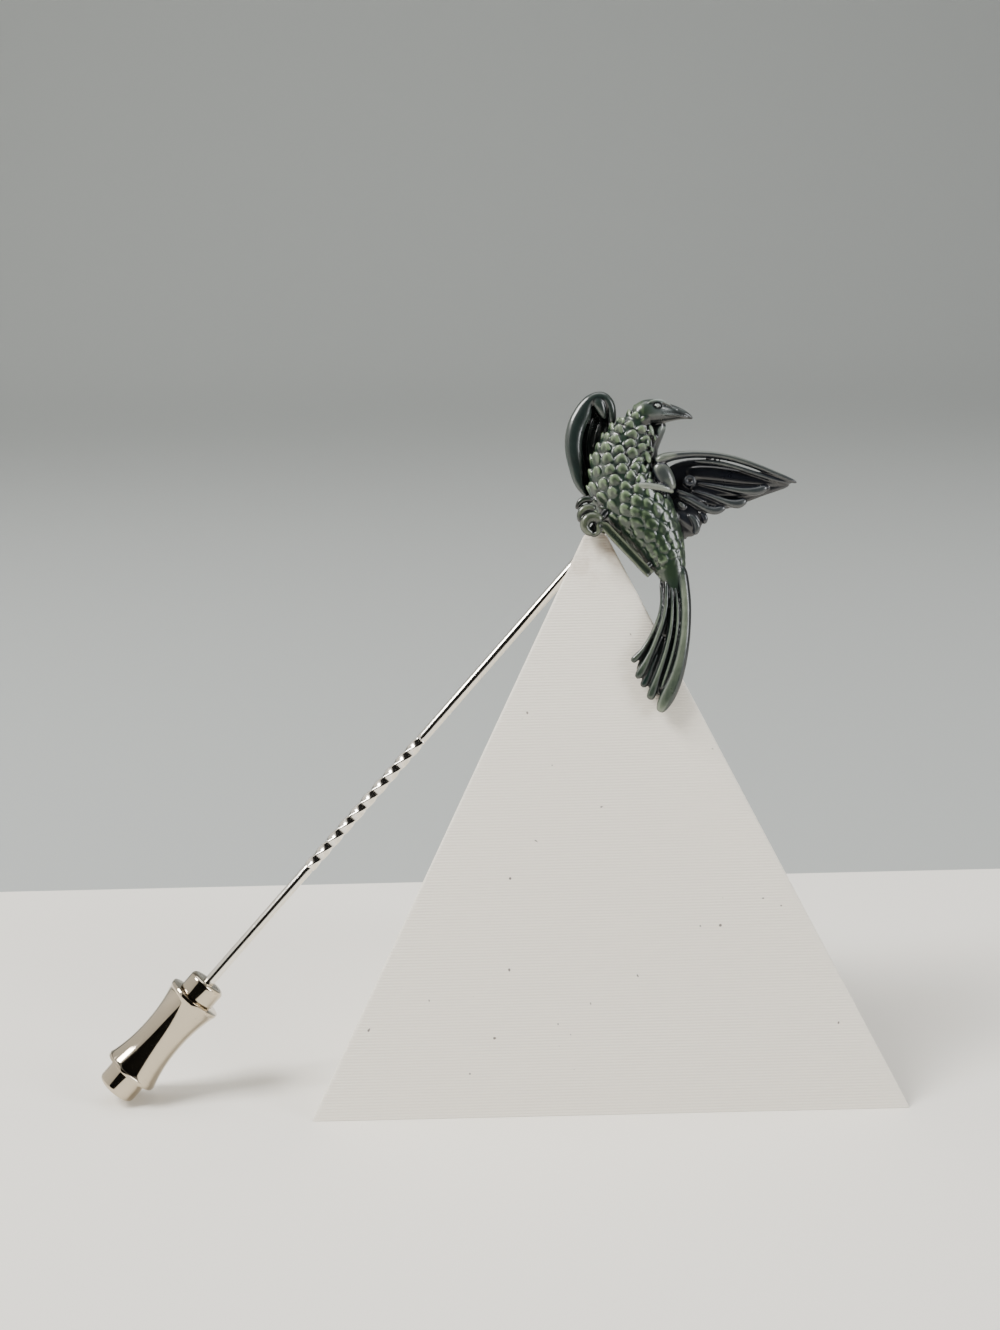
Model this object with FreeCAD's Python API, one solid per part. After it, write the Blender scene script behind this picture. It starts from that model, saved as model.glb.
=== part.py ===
import FreeCAD, Part
import math
import os

# Stick pin with an enamelled bird, hung on a small three-sided display stand.
# Row frame: origin at the centre of the stand's underside, +Z up, the front
# face looks along -Y. Millimetres.
# The bird is drawn flat in its own frame: u to the right and v upward lie in
# the plane of the stand's front face, w points out of that face to the
# viewer, and its origin is where that face would come to its sharp tip.

Vector = FreeCAD.Vector

# Driving dimensions of the stand
STAND_SIDE = 44.0
STAND_SHARP_HEIGHT = 42.8
STAND_TIP_HEIGHT = 41.05
STAND_CORNER_ROUND = 0.5
STAND_TIP_ROUND = 0.35

# Driving dimensions of the stem
STEM_DIAMETER = 0.80
STEM_POINT_LENGTH = 2.2
STEM_POINT_DIAMETER = 0.16
TWIST_START = 22.0
TWIST_END = 34.95
TWIST_TURNS = 2.5
TWIST_FLAT = 0.70
TWIST_SECTIONS_PER_TURN = 16
STEM_END = 60.3

# Driving dimensions of the clutch, along the stem from its closed lower end
CLUTCH_LENGTH = 10.66
LOWER_COLLAR_LENGTH = 1.77
UPPER_COLLAR_LENGTH = 1.46
LOWER_COLLAR_DIAMETER = 3.04
UPPER_COLLAR_DIAMETER = 2.86
FLANGE_DIAMETER = 4.22
FLANGE_EDGE = 0.30
WAIST_DIAMETER = 3.24
CORE_DIAMETER = 2.40
BORE_CLEARANCE = 0.06
SLEEVE_CLEARANCE = 0.06
SLEEVE_TRAVEL = 0.80
COLLAR_OVERLAP = 0.10
STEM_TIP_INSIDE = 1.45
BORE_FLOOR = 1.35
COLLAR_ROUND = 0.35

# The stem's line: the middle of the clutch's lower end, and the point where
# the stem crosses behind the stand's tip
CLUTCH_FOOT = Vector(-37.02, -8.63, 0.95)
TIP_CROSSING = Vector(0.27, 2.26, 40.20)

PERCH_W = 0.62

HALF_TURN = 180.0
FULL_TURN = 360.0
OVAL_POINTS = 8
ROUND_END = 1.08


def stand_centre_depth():
    """Distance from the front base line to the middle of the base."""
    return STAND_SIDE * math.sqrt(3.0) / 6.0


LEAN = math.atan2(stand_centre_depth(), STAND_SHARP_HEIGHT)
FACE_TIP = Vector(0.0, 0.0, STAND_SHARP_HEIGHT)
FACE_RIGHT = Vector(1.0, 0.0, 0.0)
FACE_UP = Vector(0.0, math.sin(LEAN), math.cos(LEAN))
FACE_OUT = Vector(0.0, -math.cos(LEAN), math.sin(LEAN))
STEM_AXIS = (TIP_CROSSING - CLUTCH_FOOT).normalize()


def on_face(u, v, w):
    """Row-frame point for the bird's own coordinates."""
    return FACE_TIP + FACE_RIGHT * u + FACE_UP * v + FACE_OUT * w


def along_stem(distance):
    """Point on the stem's axis, measured from the clutch's lower end."""
    return CLUTCH_FOOT + STEM_AXIS * distance


def fused_in_turn(shapes):
    """One solid out of overlapping shapes, joined one after another."""
    whole = shapes[0]
    for shape in shapes[1:]:
        whole = whole.fuse(shape)
    return whole


def oval_wire(centre, side, depth, half_width, half_depth):
    """Closed smooth oval round a centre, in the plane of two directions."""
    points = []
    for index in range(OVAL_POINTS):
        angle = 2.0 * math.pi * index / OVAL_POINTS
        offset = side * (half_width * math.cos(angle)) + depth * (half_depth * math.sin(angle))
        points.append(centre + offset)
    curve = Part.BSplineCurve()
    curve.interpolate(points, PeriodicFlag=True)
    return Part.Wire(curve.toShape())


def section_frames(sections):
    """Centre, sideways direction and outward direction of each section."""
    centres = [on_face(row[0], row[1], row[2]) for row in sections]
    frames = []
    last = len(centres) - 1
    for index, centre in enumerate(centres):
        ahead = centres[min(index + 1, last)]
        behind = centres[max(index - 1, 0)]
        direction = (ahead - behind).normalize()
        side = direction.cross(FACE_OUT).normalize()
        depth = side.cross(direction).normalize()
        frames.append((centre, side, depth))
    return frames


def lofted(sections):
    """Smooth solid through ovals; a row is u, v, w, half width, half depth."""
    wires = []
    for row, frame in zip(sections, section_frames(sections)):
        centre, side, depth = frame
        wires.append(oval_wire(centre, side, depth, row[3], row[4]))
    return Part.makeLoft(wires, True, False)


def ball(u, v, w, radius):
    """Ball at a place in the bird's frame."""
    return Part.makeSphere(radius, on_face(u, v, w))


def curl(u, v, w, ring_radius, wire_radius, start, sweep):
    """Bent toe: part of a ring in the bird's plane with a rounded end."""
    ring = Part.makeTorus(ring_radius, wire_radius, Vector(0, 0, 0), Vector(0, 0, 1), -HALF_TURN, HALF_TURN, sweep)
    ring.rotate(Vector(0, 0, 0), Vector(0, 0, 1), start)
    ring.transformShape(face_matrix(u, v, w))
    turn = math.radians(start + sweep)
    end_u = u + ring_radius * math.cos(turn)
    end_v = v + ring_radius * math.sin(turn)
    return [ring, ball(end_u, end_v, w, wire_radius * ROUND_END)]


def face_matrix(u, v, w):
    """Matrix that carries the bird's own axes to a place on the face."""
    place = on_face(u, v, w)
    return FreeCAD.Matrix(
        FACE_RIGHT.x, FACE_UP.x, FACE_OUT.x, place.x,
        FACE_RIGHT.y, FACE_UP.y, FACE_OUT.y, place.y,
        FACE_RIGHT.z, FACE_UP.z, FACE_OUT.z, place.z,
        0.0, 0.0, 0.0, 1.0,
    )


# Body, neck and head: columns are u, v, w, half width, half depth
BODY_SECTIONS = (
    (3.90, 7.30, -0.50, 0.80, 0.80),
    (3.45, 6.45, -0.55, 1.30, 1.10),
    (2.75, 5.20, -0.70, 2.05, 1.50),
    (2.10, 3.50, -0.80, 2.45, 1.90),
    (2.15, 1.70, -0.85, 2.70, 2.15),
    (3.05, 0.10, -0.85, 2.67, 2.25),
    (4.15, -1.45, -0.75, 2.33, 2.05),
    (5.00, -3.10, -0.40, 1.90, 1.60),
    (5.65, -4.75, 0.00, 1.40, 1.15),
    (5.85, -6.40, 0.40, 1.18, 0.80),
)
HEAD_SECTIONS = (
    (3.30, 6.75, -0.45, 0.75, 0.75),
    (4.00, 7.05, -0.40, 1.05, 0.98),
    (4.85, 7.12, -0.38, 1.08, 0.95),
    (5.75, 7.10, -0.38, 0.74, 0.70),
    (6.55, 6.98, -0.38, 0.46, 0.46),
    (7.15, 6.88, -0.38, 0.26, 0.27),
    (7.55, 6.84, -0.38, 0.08, 0.10),
)

# Tail feathers, from the rump to the tips, right to left
TAIL_FEATHERS = (
    (
        (6.15, -4.60, 0.25, 0.60, 0.60),
        (6.32, -7.60, 0.62, 0.66, 0.50),
        (6.12, -10.20, 0.72, 0.66, 0.48),
        (5.50, -12.90, 0.74, 0.74, 0.48),
        (4.80, -14.70, 0.72, 0.62, 0.42),
        (4.42, -15.40, 0.70, 0.18, 0.20),
    ),
    (
        (5.65, -4.90, 0.30, 0.40, 0.50),
        (5.62, -7.60, 0.60, 0.36, 0.42),
        (5.22, -10.30, 0.70, 0.40, 0.40),
        (4.38, -12.90, 0.70, 0.42, 0.40),
        (3.62, -14.55, 0.68, 0.24, 0.24),
    ),
    (
        (5.20, -5.20, 0.30, 0.34, 0.45),
        (4.98, -7.90, 0.60, 0.32, 0.38),
        (4.18, -10.40, 0.70, 0.36, 0.38),
        (3.20, -12.20, 0.70, 0.36, 0.38),
        (2.62, -13.15, 0.68, 0.22, 0.24),
    ),
    (
        (4.85, -5.60, 0.25, 0.22, 0.35),
        (4.62, -7.90, 0.58, 0.22, 0.34),
        (3.72, -9.90, 0.66, 0.26, 0.34),
        (2.90, -11.05, 0.66, 0.26, 0.32),
        (2.40, -11.70, 0.64, 0.16, 0.20),
    ),
)

# Spread wing: leading edge, arm, long feathers and the fan below them
WING_EDGE = (
    (4.55, 3.35, 0.20, 0.42, 0.60),
    (5.60, 3.72, 0.20, 0.42, 0.62),
    (7.90, 3.86, 0.15, 0.36, 0.58),
    (10.50, 3.46, 0.05, 0.32, 0.50),
    (13.05, 2.48, -0.05, 0.27, 0.42),
    (15.15, 1.62, -0.10, 0.14, 0.22),
)
WING_ARM = (
    (4.50, 3.45, 0.15, 0.36, 0.60),
    (4.95, 2.55, 0.25, 0.52, 0.75),
    (5.55, 1.60, 0.25, 0.52, 0.75),
    (5.75, 0.90, 0.10, 0.36, 0.60),
)
WING_FEATHERS = (
    (
        (6.60, 2.55, -0.45, 0.70, 0.45),
        (9.50, 2.48, -0.42, 0.88, 0.45),
        (12.50, 1.98, -0.34, 0.74, 0.42),
        (15.05, 1.56, -0.20, 0.18, 0.20),
    ),
    (
        (6.60, 1.80, -0.40, 0.55, 0.48),
        (9.20, 1.45, -0.35, 0.60, 0.48),
        (11.60, 1.10, -0.28, 0.50, 0.42),
        (13.15, 1.22, -0.20, 0.18, 0.20),
    ),
    (
        (6.40, 1.15, -0.35, 0.50, 0.50),
        (8.60, 0.70, -0.28, 0.52, 0.48),
        (10.40, 0.30, -0.20, 0.42, 0.40),
        (11.40, 0.25, -0.14, 0.18, 0.20),
    ),
    (
        (6.10, 0.60, -0.30, 0.52, 0.50),
        (7.60, 0.12, -0.22, 0.56, 0.46),
        (9.00, -0.20, -0.14, 0.44, 0.36),
        (9.90, -0.30, -0.10, 0.16, 0.20),
    ),
)
FAN_FEATHERS = (
    (
        (6.00, 0.20, -0.50, 0.50, 0.45),
        (7.40, -0.60, -0.50, 0.60, 0.42),
        (8.35, -1.20, -0.48, 0.30, 0.28),
    ),
    (
        (5.80, -0.20, -0.30, 0.50, 0.50),
        (7.00, -1.20, -0.28, 0.62, 0.48),
        (7.70, -2.00, -0.28, 0.28, 0.26),
    ),
    (
        (5.40, -0.60, -0.60, 0.60, 0.50),
        (6.30, -1.70, -0.60, 0.62, 0.48),
        (6.85, -2.45, -0.58, 0.26, 0.26),
    ),
)
WING_BOSS = (7.18, 2.00, -0.05, 0.52)

# Thin web that closes the wing behind its feathers: outline points u, v
WING_WEB_OUTLINE = (
    (5.20, 1.20), (4.70, 3.30), (7.90, 3.80), (10.50, 3.40), (13.00, 2.40), (14.90, 1.62),
    (12.90, 1.30), (11.00, 0.40), (9.40, -0.20), (8.00, -1.10), (7.00, -2.10), (5.60, -1.60),
)
WING_WEB_BACK = -0.95
WING_WEB_FRONT = -0.50

# Folded far wing: outline points u, v of its rim, and of the hollow inside
FAR_WING_OUTLINE = (
    (0.91, 9.20), (-0.45, 8.45), (-1.45, 7.10), (-2.06, 5.20), (-1.80, 3.00),
    (-0.95, 1.10), (0.60, 1.60), (1.60, 4.20), (1.98, 7.60),
)
FAR_WING_HOLLOW = (
    (0.30, 7.95), (-0.55, 7.20), (-1.15, 5.70), (-1.20, 3.90), (-0.70, 2.20),
    (0.30, 2.60), (1.20, 4.60), (1.45, 7.10),
)
FAR_WING_BACK = -2.30
FAR_WING_FRONT = -0.95
FAR_WING_FLOOR = -1.85

# Perch bar and the toes that grip it
PERCH_UPPER = (0.30, -1.10)
PERCH_LOWER = (3.82, -4.98)
PERCH_RADIUS = 0.34
FOOT_LINK_RADIUS = 0.30
# Columns: u, v, w, ring radius, wire radius, start angle, sweep
TOES = (
    (-0.12, -1.42, 0.62, 0.52, 0.30, 40.0, 225.0),
    (-0.42, -0.78, 0.52, 0.78, 0.27, 70.0, 150.0),
    (-0.52, -0.22, 0.42, 0.90, 0.24, 75.0, 115.0),
)

# Scales: rows down the body. Columns are the place along the body sections,
# how many scales the row has, and the angles it spans round the front
SCALE_ROWS = (
    (0.62, 3, 66.0, 150.0),
    (1.26, 3, 64.0, 164.0),
    (1.80, 4, 62.0, 164.0),
    (2.27, 5, 50.0, 166.0),
    (2.72, 5, 58.0, 166.0),
    (3.15, 5, 54.0, 162.0),
    (3.58, 6, 40.0, 160.0),
    (4.00, 6, 26.0, 154.0),
    (4.43, 6, 24.0, 156.0),
    (4.87, 6, 20.0, 148.0),
    (5.32, 5, 30.0, 150.0),
    (5.80, 5, 30.0, 142.0),
    (6.32, 3, 64.0, 150.0),
    (6.88, 3, 74.0, 146.0),
)
SCALE_LARGEST_RADIUS = 0.47
SCALE_FILL = 0.48
SCALE_SINK = 0.35
EVEN_ROW_STAGGER = 0.25
ODD_ROW_STAGGER = 0.75


def blend(first, second, part):
    """Value part of the way from the first to the second."""
    return first + (second - first) * part


def body_point(place, angle_degrees):
    """Point on the body's skin and the way out there."""
    index = min(int(place), len(BODY_SECTIONS) - 2)
    part = place - index
    frames = section_frames(BODY_SECTIONS)
    centre = blend(frames[index][0], frames[index + 1][0], part)
    side = blend(frames[index][1], frames[index + 1][1], part).normalize()
    depth = blend(frames[index][2], frames[index + 1][2], part).normalize()
    half_width = blend(BODY_SECTIONS[index][3], BODY_SECTIONS[index + 1][3], part)
    half_depth = blend(BODY_SECTIONS[index][4], BODY_SECTIONS[index + 1][4], part)
    turn = math.radians(angle_degrees)
    point = centre + side * (half_width * math.cos(turn)) + depth * (half_depth * math.sin(turn))
    outward = side * (math.cos(turn) / half_width) + depth * (math.sin(turn) / half_depth)
    return point, outward.normalize()


def scale_places():
    """Skin points and outward ways of the scales, in staggered rows."""
    places = []
    for row, (place, count, first_angle, last_angle) in enumerate(SCALE_ROWS):
        step = (last_angle - first_angle) / count
        stagger = EVEN_ROW_STAGGER if row % 2 == 0 else ODD_ROW_STAGGER
        for index in range(count):
            places.append(body_point(place, first_angle + step * (index + stagger)))
    return places


def scales():
    """Raised round scales, each just short of its nearest neighbour."""
    places = scale_places()
    shapes = []
    for index, (point, outward) in enumerate(places):
        others = [other for number, (other, _) in enumerate(places) if number != index]
        nearest = min((point - other).Length for other in others)
        radius = min(SCALE_LARGEST_RADIUS, SCALE_FILL * nearest)
        shapes.append(Part.makeSphere(radius, point - outward * (radius * SCALE_SINK), outward))
    return shapes


def closed_curve_face(outline, w):
    """Flat face inside a smooth closed curve through the outline's points."""
    points = [on_face(u, v, w) for u, v in outline]
    curve = Part.BSplineCurve()
    curve.interpolate(points, PeriodicFlag=True)
    return Part.Face(Part.Wire(curve.toShape()))


def far_wing():
    """Dished leaf of the folded wing behind the neck, with its thick rim."""
    outer = closed_curve_face(FAR_WING_OUTLINE, FAR_WING_BACK).extrude(FACE_OUT * (FAR_WING_FRONT - FAR_WING_BACK))
    hollow = closed_curve_face(FAR_WING_HOLLOW, FAR_WING_FLOOR).extrude(FACE_OUT * (FAR_WING_FRONT - FAR_WING_FLOOR + 1.0))
    return outer.cut(hollow)


def wing_web():
    """Flat web behind the spread wing's feathers."""
    points = [on_face(u, v, WING_WEB_BACK) for u, v in WING_WEB_OUTLINE]
    face = Part.Face(Part.makePolygon(points + [points[0]]))
    return face.extrude(FACE_OUT * (WING_WEB_FRONT - WING_WEB_BACK))


def perch():
    """Round bar under the bird and the toes that grip its upper end."""
    start = on_face(PERCH_UPPER[0], PERCH_UPPER[1], PERCH_W)
    end = on_face(PERCH_LOWER[0], PERCH_LOWER[1], PERCH_W)
    bar = Part.makeCylinder(PERCH_RADIUS, (end - start).Length, start, end - start)
    pieces = [bar, Part.makeSphere(PERCH_RADIUS * ROUND_END, end)]
    for toe in TOES:
        pieces.extend(curl(*toe))
    return pieces


def foot_links():
    """Short legs that join the bar and the toes to the belly."""
    links = []
    for low, high in (((0.25, -0.95, 0.45), (1.10, -0.10, 0.10)), ((3.60, -4.70, 0.45), (4.30, -4.10, 0.10))):
        start = on_face(*low)
        end = on_face(*high)
        links.append(Part.makeCylinder(FOOT_LINK_RADIUS, (end - start).Length, start, end - start))
    return links


def twisted_square():
    """Square wire turned about the stem's axis, as a ruled loft."""
    count = int(TWIST_TURNS * TWIST_SECTIONS_PER_TURN)
    across = STEM_AXIS.cross(Vector(0, 0, 1)).normalize()
    upward = across.cross(STEM_AXIS).normalize()
    half_diagonal = TWIST_FLAT / math.sqrt(2.0)
    wires = []
    for index in range(count + 1):
        part = index / count
        centre = along_stem(blend(TWIST_START, TWIST_END, part))
        corners = []
        for corner in range(4):
            turn = 2.0 * math.pi * (TWIST_TURNS * part + corner / 4.0)
            corners.append(centre + across * (half_diagonal * math.cos(turn)) + upward * (half_diagonal * math.sin(turn)))
        wires.append(Part.makePolygon(corners + [corners[0]]))
    return Part.makeLoft(wires, True, True)


def stem():
    """Round stem with its point, the twisted square stretch, and its upper run."""
    radius = STEM_DIAMETER / 2.0
    point_end = STEM_TIP_INSIDE + STEM_POINT_LENGTH
    cone = Part.makeCone(STEM_POINT_DIAMETER / 2.0, radius, STEM_POINT_LENGTH, along_stem(STEM_TIP_INSIDE), STEM_AXIS)
    lower = Part.makeCylinder(radius, TWIST_START - point_end + 0.1, along_stem(point_end), STEM_AXIS)
    upper = Part.makeCylinder(radius, STEM_END - TWIST_END + 0.1, along_stem(TWIST_END - 0.1), STEM_AXIS)
    return [cone, lower, twisted_square(), upper]


def bird_pin():
    """The bird, its perch and the soldered stem, one solid."""
    pieces = [lofted(BODY_SECTIONS), lofted(HEAD_SECTIONS), lofted(WING_EDGE), lofted(WING_ARM)]
    for table in (WING_FEATHERS, FAN_FEATHERS, TAIL_FEATHERS):
        pieces.extend(lofted(feather) for feather in table)
    pieces.append(wing_web())
    pieces.append(ball(*WING_BOSS))
    pieces.append(far_wing())
    pieces.extend(perch() + foot_links() + stem())
    return fused_in_turn(pieces).fuse(scales())


def closed_pairs(profile):
    """Pairs of neighbouring points round a profile of distance and radius."""
    points = [Vector(radius, 0, distance) for distance, radius in profile]
    return zip(points, points[1:] + points[:1])


def revolved(edges):
    """Solid turned about the stem's axis from the edges of its half section."""
    face = Part.Face(Part.Wire(edges))
    solid = face.revolve(Vector(0, 0, 0), Vector(0, 0, 1), FULL_TURN)
    solid.Placement = FreeCAD.Placement(CLUTCH_FOOT, FreeCAD.Rotation(Vector(0, 0, 1), STEM_AXIS))
    return solid


def clutch_core():
    """Inner body of the clutch: two collars and the blind bore for the stem."""
    bore = STEM_DIAMETER / 2.0 + BORE_CLEARANCE
    lower = LOWER_COLLAR_DIAMETER / 2.0
    upper = UPPER_COLLAR_DIAMETER / 2.0
    core = CORE_DIAMETER / 2.0
    lower_top = LOWER_COLLAR_LENGTH + COLLAR_OVERLAP
    upper_bottom = CLUTCH_LENGTH - UPPER_COLLAR_LENGTH
    edge = COLLAR_ROUND * (1.0 - math.sqrt(0.5))
    profile = (
        (0.0, 0.0),
        (0.0, lower - COLLAR_ROUND),
        (edge, lower - edge),
        (COLLAR_ROUND, lower),
        (lower_top, lower),
        (lower_top, core),
        (upper_bottom, core),
        (upper_bottom, upper),
        (CLUTCH_LENGTH - COLLAR_ROUND, upper),
        (CLUTCH_LENGTH - edge, upper - edge),
        (CLUTCH_LENGTH, upper - COLLAR_ROUND),
        (CLUTCH_LENGTH, bore),
        (BORE_FLOOR, bore),
        (BORE_FLOOR, 0.0),
    )
    return revolved([Part.makeLine(*ends) for ends in closed_pairs(profile)])


def clutch_sleeve():
    """Spool-shaped sleeve on the core, with a recess that clears the lower collar."""
    bore = CORE_DIAMETER / 2.0 + SLEEVE_CLEARANCE
    recess = LOWER_COLLAR_DIAMETER / 2.0 + SLEEVE_CLEARANCE
    flange = FLANGE_DIAMETER / 2.0
    bottom = LOWER_COLLAR_LENGTH
    top = CLUTCH_LENGTH - UPPER_COLLAR_LENGTH - SLEEVE_CLEARANCE
    recess_floor = bottom + COLLAR_OVERLAP + SLEEVE_TRAVEL + SLEEVE_CLEARANCE
    low_edge = Vector(flange, 0, bottom + FLANGE_EDGE)
    high_edge = Vector(flange, 0, top - FLANGE_EDGE)
    waist = Vector(WAIST_DIAMETER / 2.0, 0, (bottom + top) / 2.0)
    corners = (
        high_edge,
        Vector(flange, 0, top),
        Vector(bore, 0, top),
        Vector(bore, 0, recess_floor),
        Vector(recess, 0, recess_floor),
        Vector(recess, 0, bottom),
        Vector(flange, 0, bottom),
        low_edge,
    )
    hollow = Part.Arc(low_edge, waist, high_edge).toShape()
    return revolved([hollow] + [Part.makeLine(first, second) for first, second in zip(corners, corners[1:])])


def display_stand():
    """Plain three-sided pyramid with softened corners and a blunt tip."""
    depth = stand_centre_depth()
    tip_part = 1.0 - STAND_TIP_HEIGHT / STAND_SHARP_HEIGHT
    wires = []
    for height, part in ((0.0, 1.0), (STAND_TIP_HEIGHT, tip_part)):
        half = STAND_SIDE / 2.0 * part
        corners = [
            Vector(-half, -depth * part, height),
            Vector(half, -depth * part, height),
            Vector(0.0, 2.0 * depth * part, height),
        ]
        wires.append(Part.makePolygon(corners + [corners[0]]))
    solid = Part.makeLoft(wires, True, True)
    slanted = [edge for edge in solid.Edges if edge.BoundBox.ZLength > STAND_TIP_HEIGHT / 2.0]
    solid = solid.makeFillet(STAND_CORNER_ROUND, slanted)
    tip = [edge for edge in solid.Edges if edge.BoundBox.ZMin > STAND_TIP_HEIGHT - 0.01]
    return solid.makeFillet(STAND_TIP_ROUND, tip)


def build():
    """Write every piece."""
    os.makedirs("parts", exist_ok=True)
    pieces = {
        "bird_pin": bird_pin(),
        "clutch_core": clutch_core(),
        "clutch_sleeve": clutch_sleeve(),
        "display_stand": display_stand(),
    }
    for name, shape in pieces.items():
        print(name, len(shape.Solids), shape.isValid(), round(shape.Volume, 2))
        shape.exportStep("parts/" + name + ".step")


build()
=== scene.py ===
"""Looks of an enamelled bird stick pin hung on a plain three-sided display stand."""

import logging
import math
import random
from dataclasses import dataclass
from enum import Enum
from typing import Callable, Iterable, Sequence

import bmesh
import bpy
import numpy as np
from mathutils import Euler, Matrix, Vector
from mathutils.bvhtree import BVHTree

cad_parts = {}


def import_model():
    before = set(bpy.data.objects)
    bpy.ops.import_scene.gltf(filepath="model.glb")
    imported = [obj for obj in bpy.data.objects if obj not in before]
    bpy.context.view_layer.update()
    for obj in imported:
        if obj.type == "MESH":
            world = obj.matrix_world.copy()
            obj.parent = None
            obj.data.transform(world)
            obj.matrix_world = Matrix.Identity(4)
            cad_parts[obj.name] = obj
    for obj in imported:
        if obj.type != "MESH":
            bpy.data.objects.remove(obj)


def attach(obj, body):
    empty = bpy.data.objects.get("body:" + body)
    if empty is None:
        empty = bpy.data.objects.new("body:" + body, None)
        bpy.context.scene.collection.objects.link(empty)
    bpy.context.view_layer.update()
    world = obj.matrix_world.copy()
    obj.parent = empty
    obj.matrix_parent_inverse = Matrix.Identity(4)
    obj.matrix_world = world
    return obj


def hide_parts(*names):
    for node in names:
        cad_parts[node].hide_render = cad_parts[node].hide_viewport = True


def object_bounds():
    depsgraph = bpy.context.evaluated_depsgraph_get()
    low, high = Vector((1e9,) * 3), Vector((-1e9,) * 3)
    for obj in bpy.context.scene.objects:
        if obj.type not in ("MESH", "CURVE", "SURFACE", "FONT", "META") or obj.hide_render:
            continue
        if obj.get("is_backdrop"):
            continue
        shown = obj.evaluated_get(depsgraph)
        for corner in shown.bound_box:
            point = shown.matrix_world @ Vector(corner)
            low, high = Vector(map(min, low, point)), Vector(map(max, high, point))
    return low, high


LOG = logging.getLogger("stick_pin")
MM = 0.001
# Sockets of the Mix node that take two colours, and the one that gives the result
MIX_FIRST, MIX_SECOND, MIX_COLOUR = 6, 7, 2
Piece = bpy.types.Object
Oval = tuple[Vector, Matrix, float, float]

# A row of a form is u, v, w, half width and half depth of an oval, in millimetres of the face frame.
Row = tuple[float, ...]
Rows = tuple[Row, ...]


class Body(Enum):
    """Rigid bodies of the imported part."""

    PIN = "pin_and_stand"
    CLUTCH = "clutch"
    SLEEVE = "sleeve"


class Slot(Enum):
    """Material slots of the record."""

    ENAMEL = "enamel"
    METAL = "polished_metal"
    PLASTIC = "printed_plastic"


def blend(first: float, second: float, part: float) -> float:
    """Value part of the way from the first to the second."""
    return first + (second - first) * part


def smooth(low: float, high: float, value: float) -> float:
    """Soft step from 0 at low to 1 at high."""
    part = min(max((value - low) / (high - low), 0.0), 1.0)
    return part * part * (3.0 - 2.0 * part)


def dimmed(colour: Row, share: float) -> Row:
    """Colour at a share of its brightness."""
    return tuple(share * part for part in colour)


@dataclass(frozen=True)
class Bench:
    """Places where pieces are modelled in millimetres before they are set down.

    The face frame has u to the right and v upward in the stand's front face and w out of it.
    The stem frame has its z along the stem, from the clutch's closed lower end.
    """

    side: float = 44.0
    sharp_height: float = 42.8
    foot: Row = (-37.02, -8.63, 0.95)
    crossing: Row = (0.27, 2.26, 40.20)

    def face(self) -> Matrix:
        """Matrix from the face frame in millimetres to the row frame in metres."""
        lean = math.atan2(self.side * math.sqrt(3.0) / 6.0, self.sharp_height)
        sine, cosine = math.sin(lean), math.cos(lean)
        turn = Matrix(((1.0, 0.0, 0.0), (0.0, sine, -cosine), (0.0, cosine, sine))).to_4x4()
        return Matrix.Scale(MM, 4) @ Matrix.Translation((0.0, 0.0, self.sharp_height)) @ turn

    def stem(self) -> Matrix:
        """Matrix from the stem frame in millimetres to the row frame in metres."""
        along = (Vector(self.crossing) - Vector(self.foot)).normalized()
        turn = along.to_track_quat("Z", "Y").to_matrix().to_4x4()
        return Matrix.Scale(MM, 4) @ Matrix.Translation(self.foot) @ turn

    def plain(self) -> Matrix:
        """Matrix from row millimetres to metres."""
        return Matrix.Scale(MM, 4)


BENCH = Bench()


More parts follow.
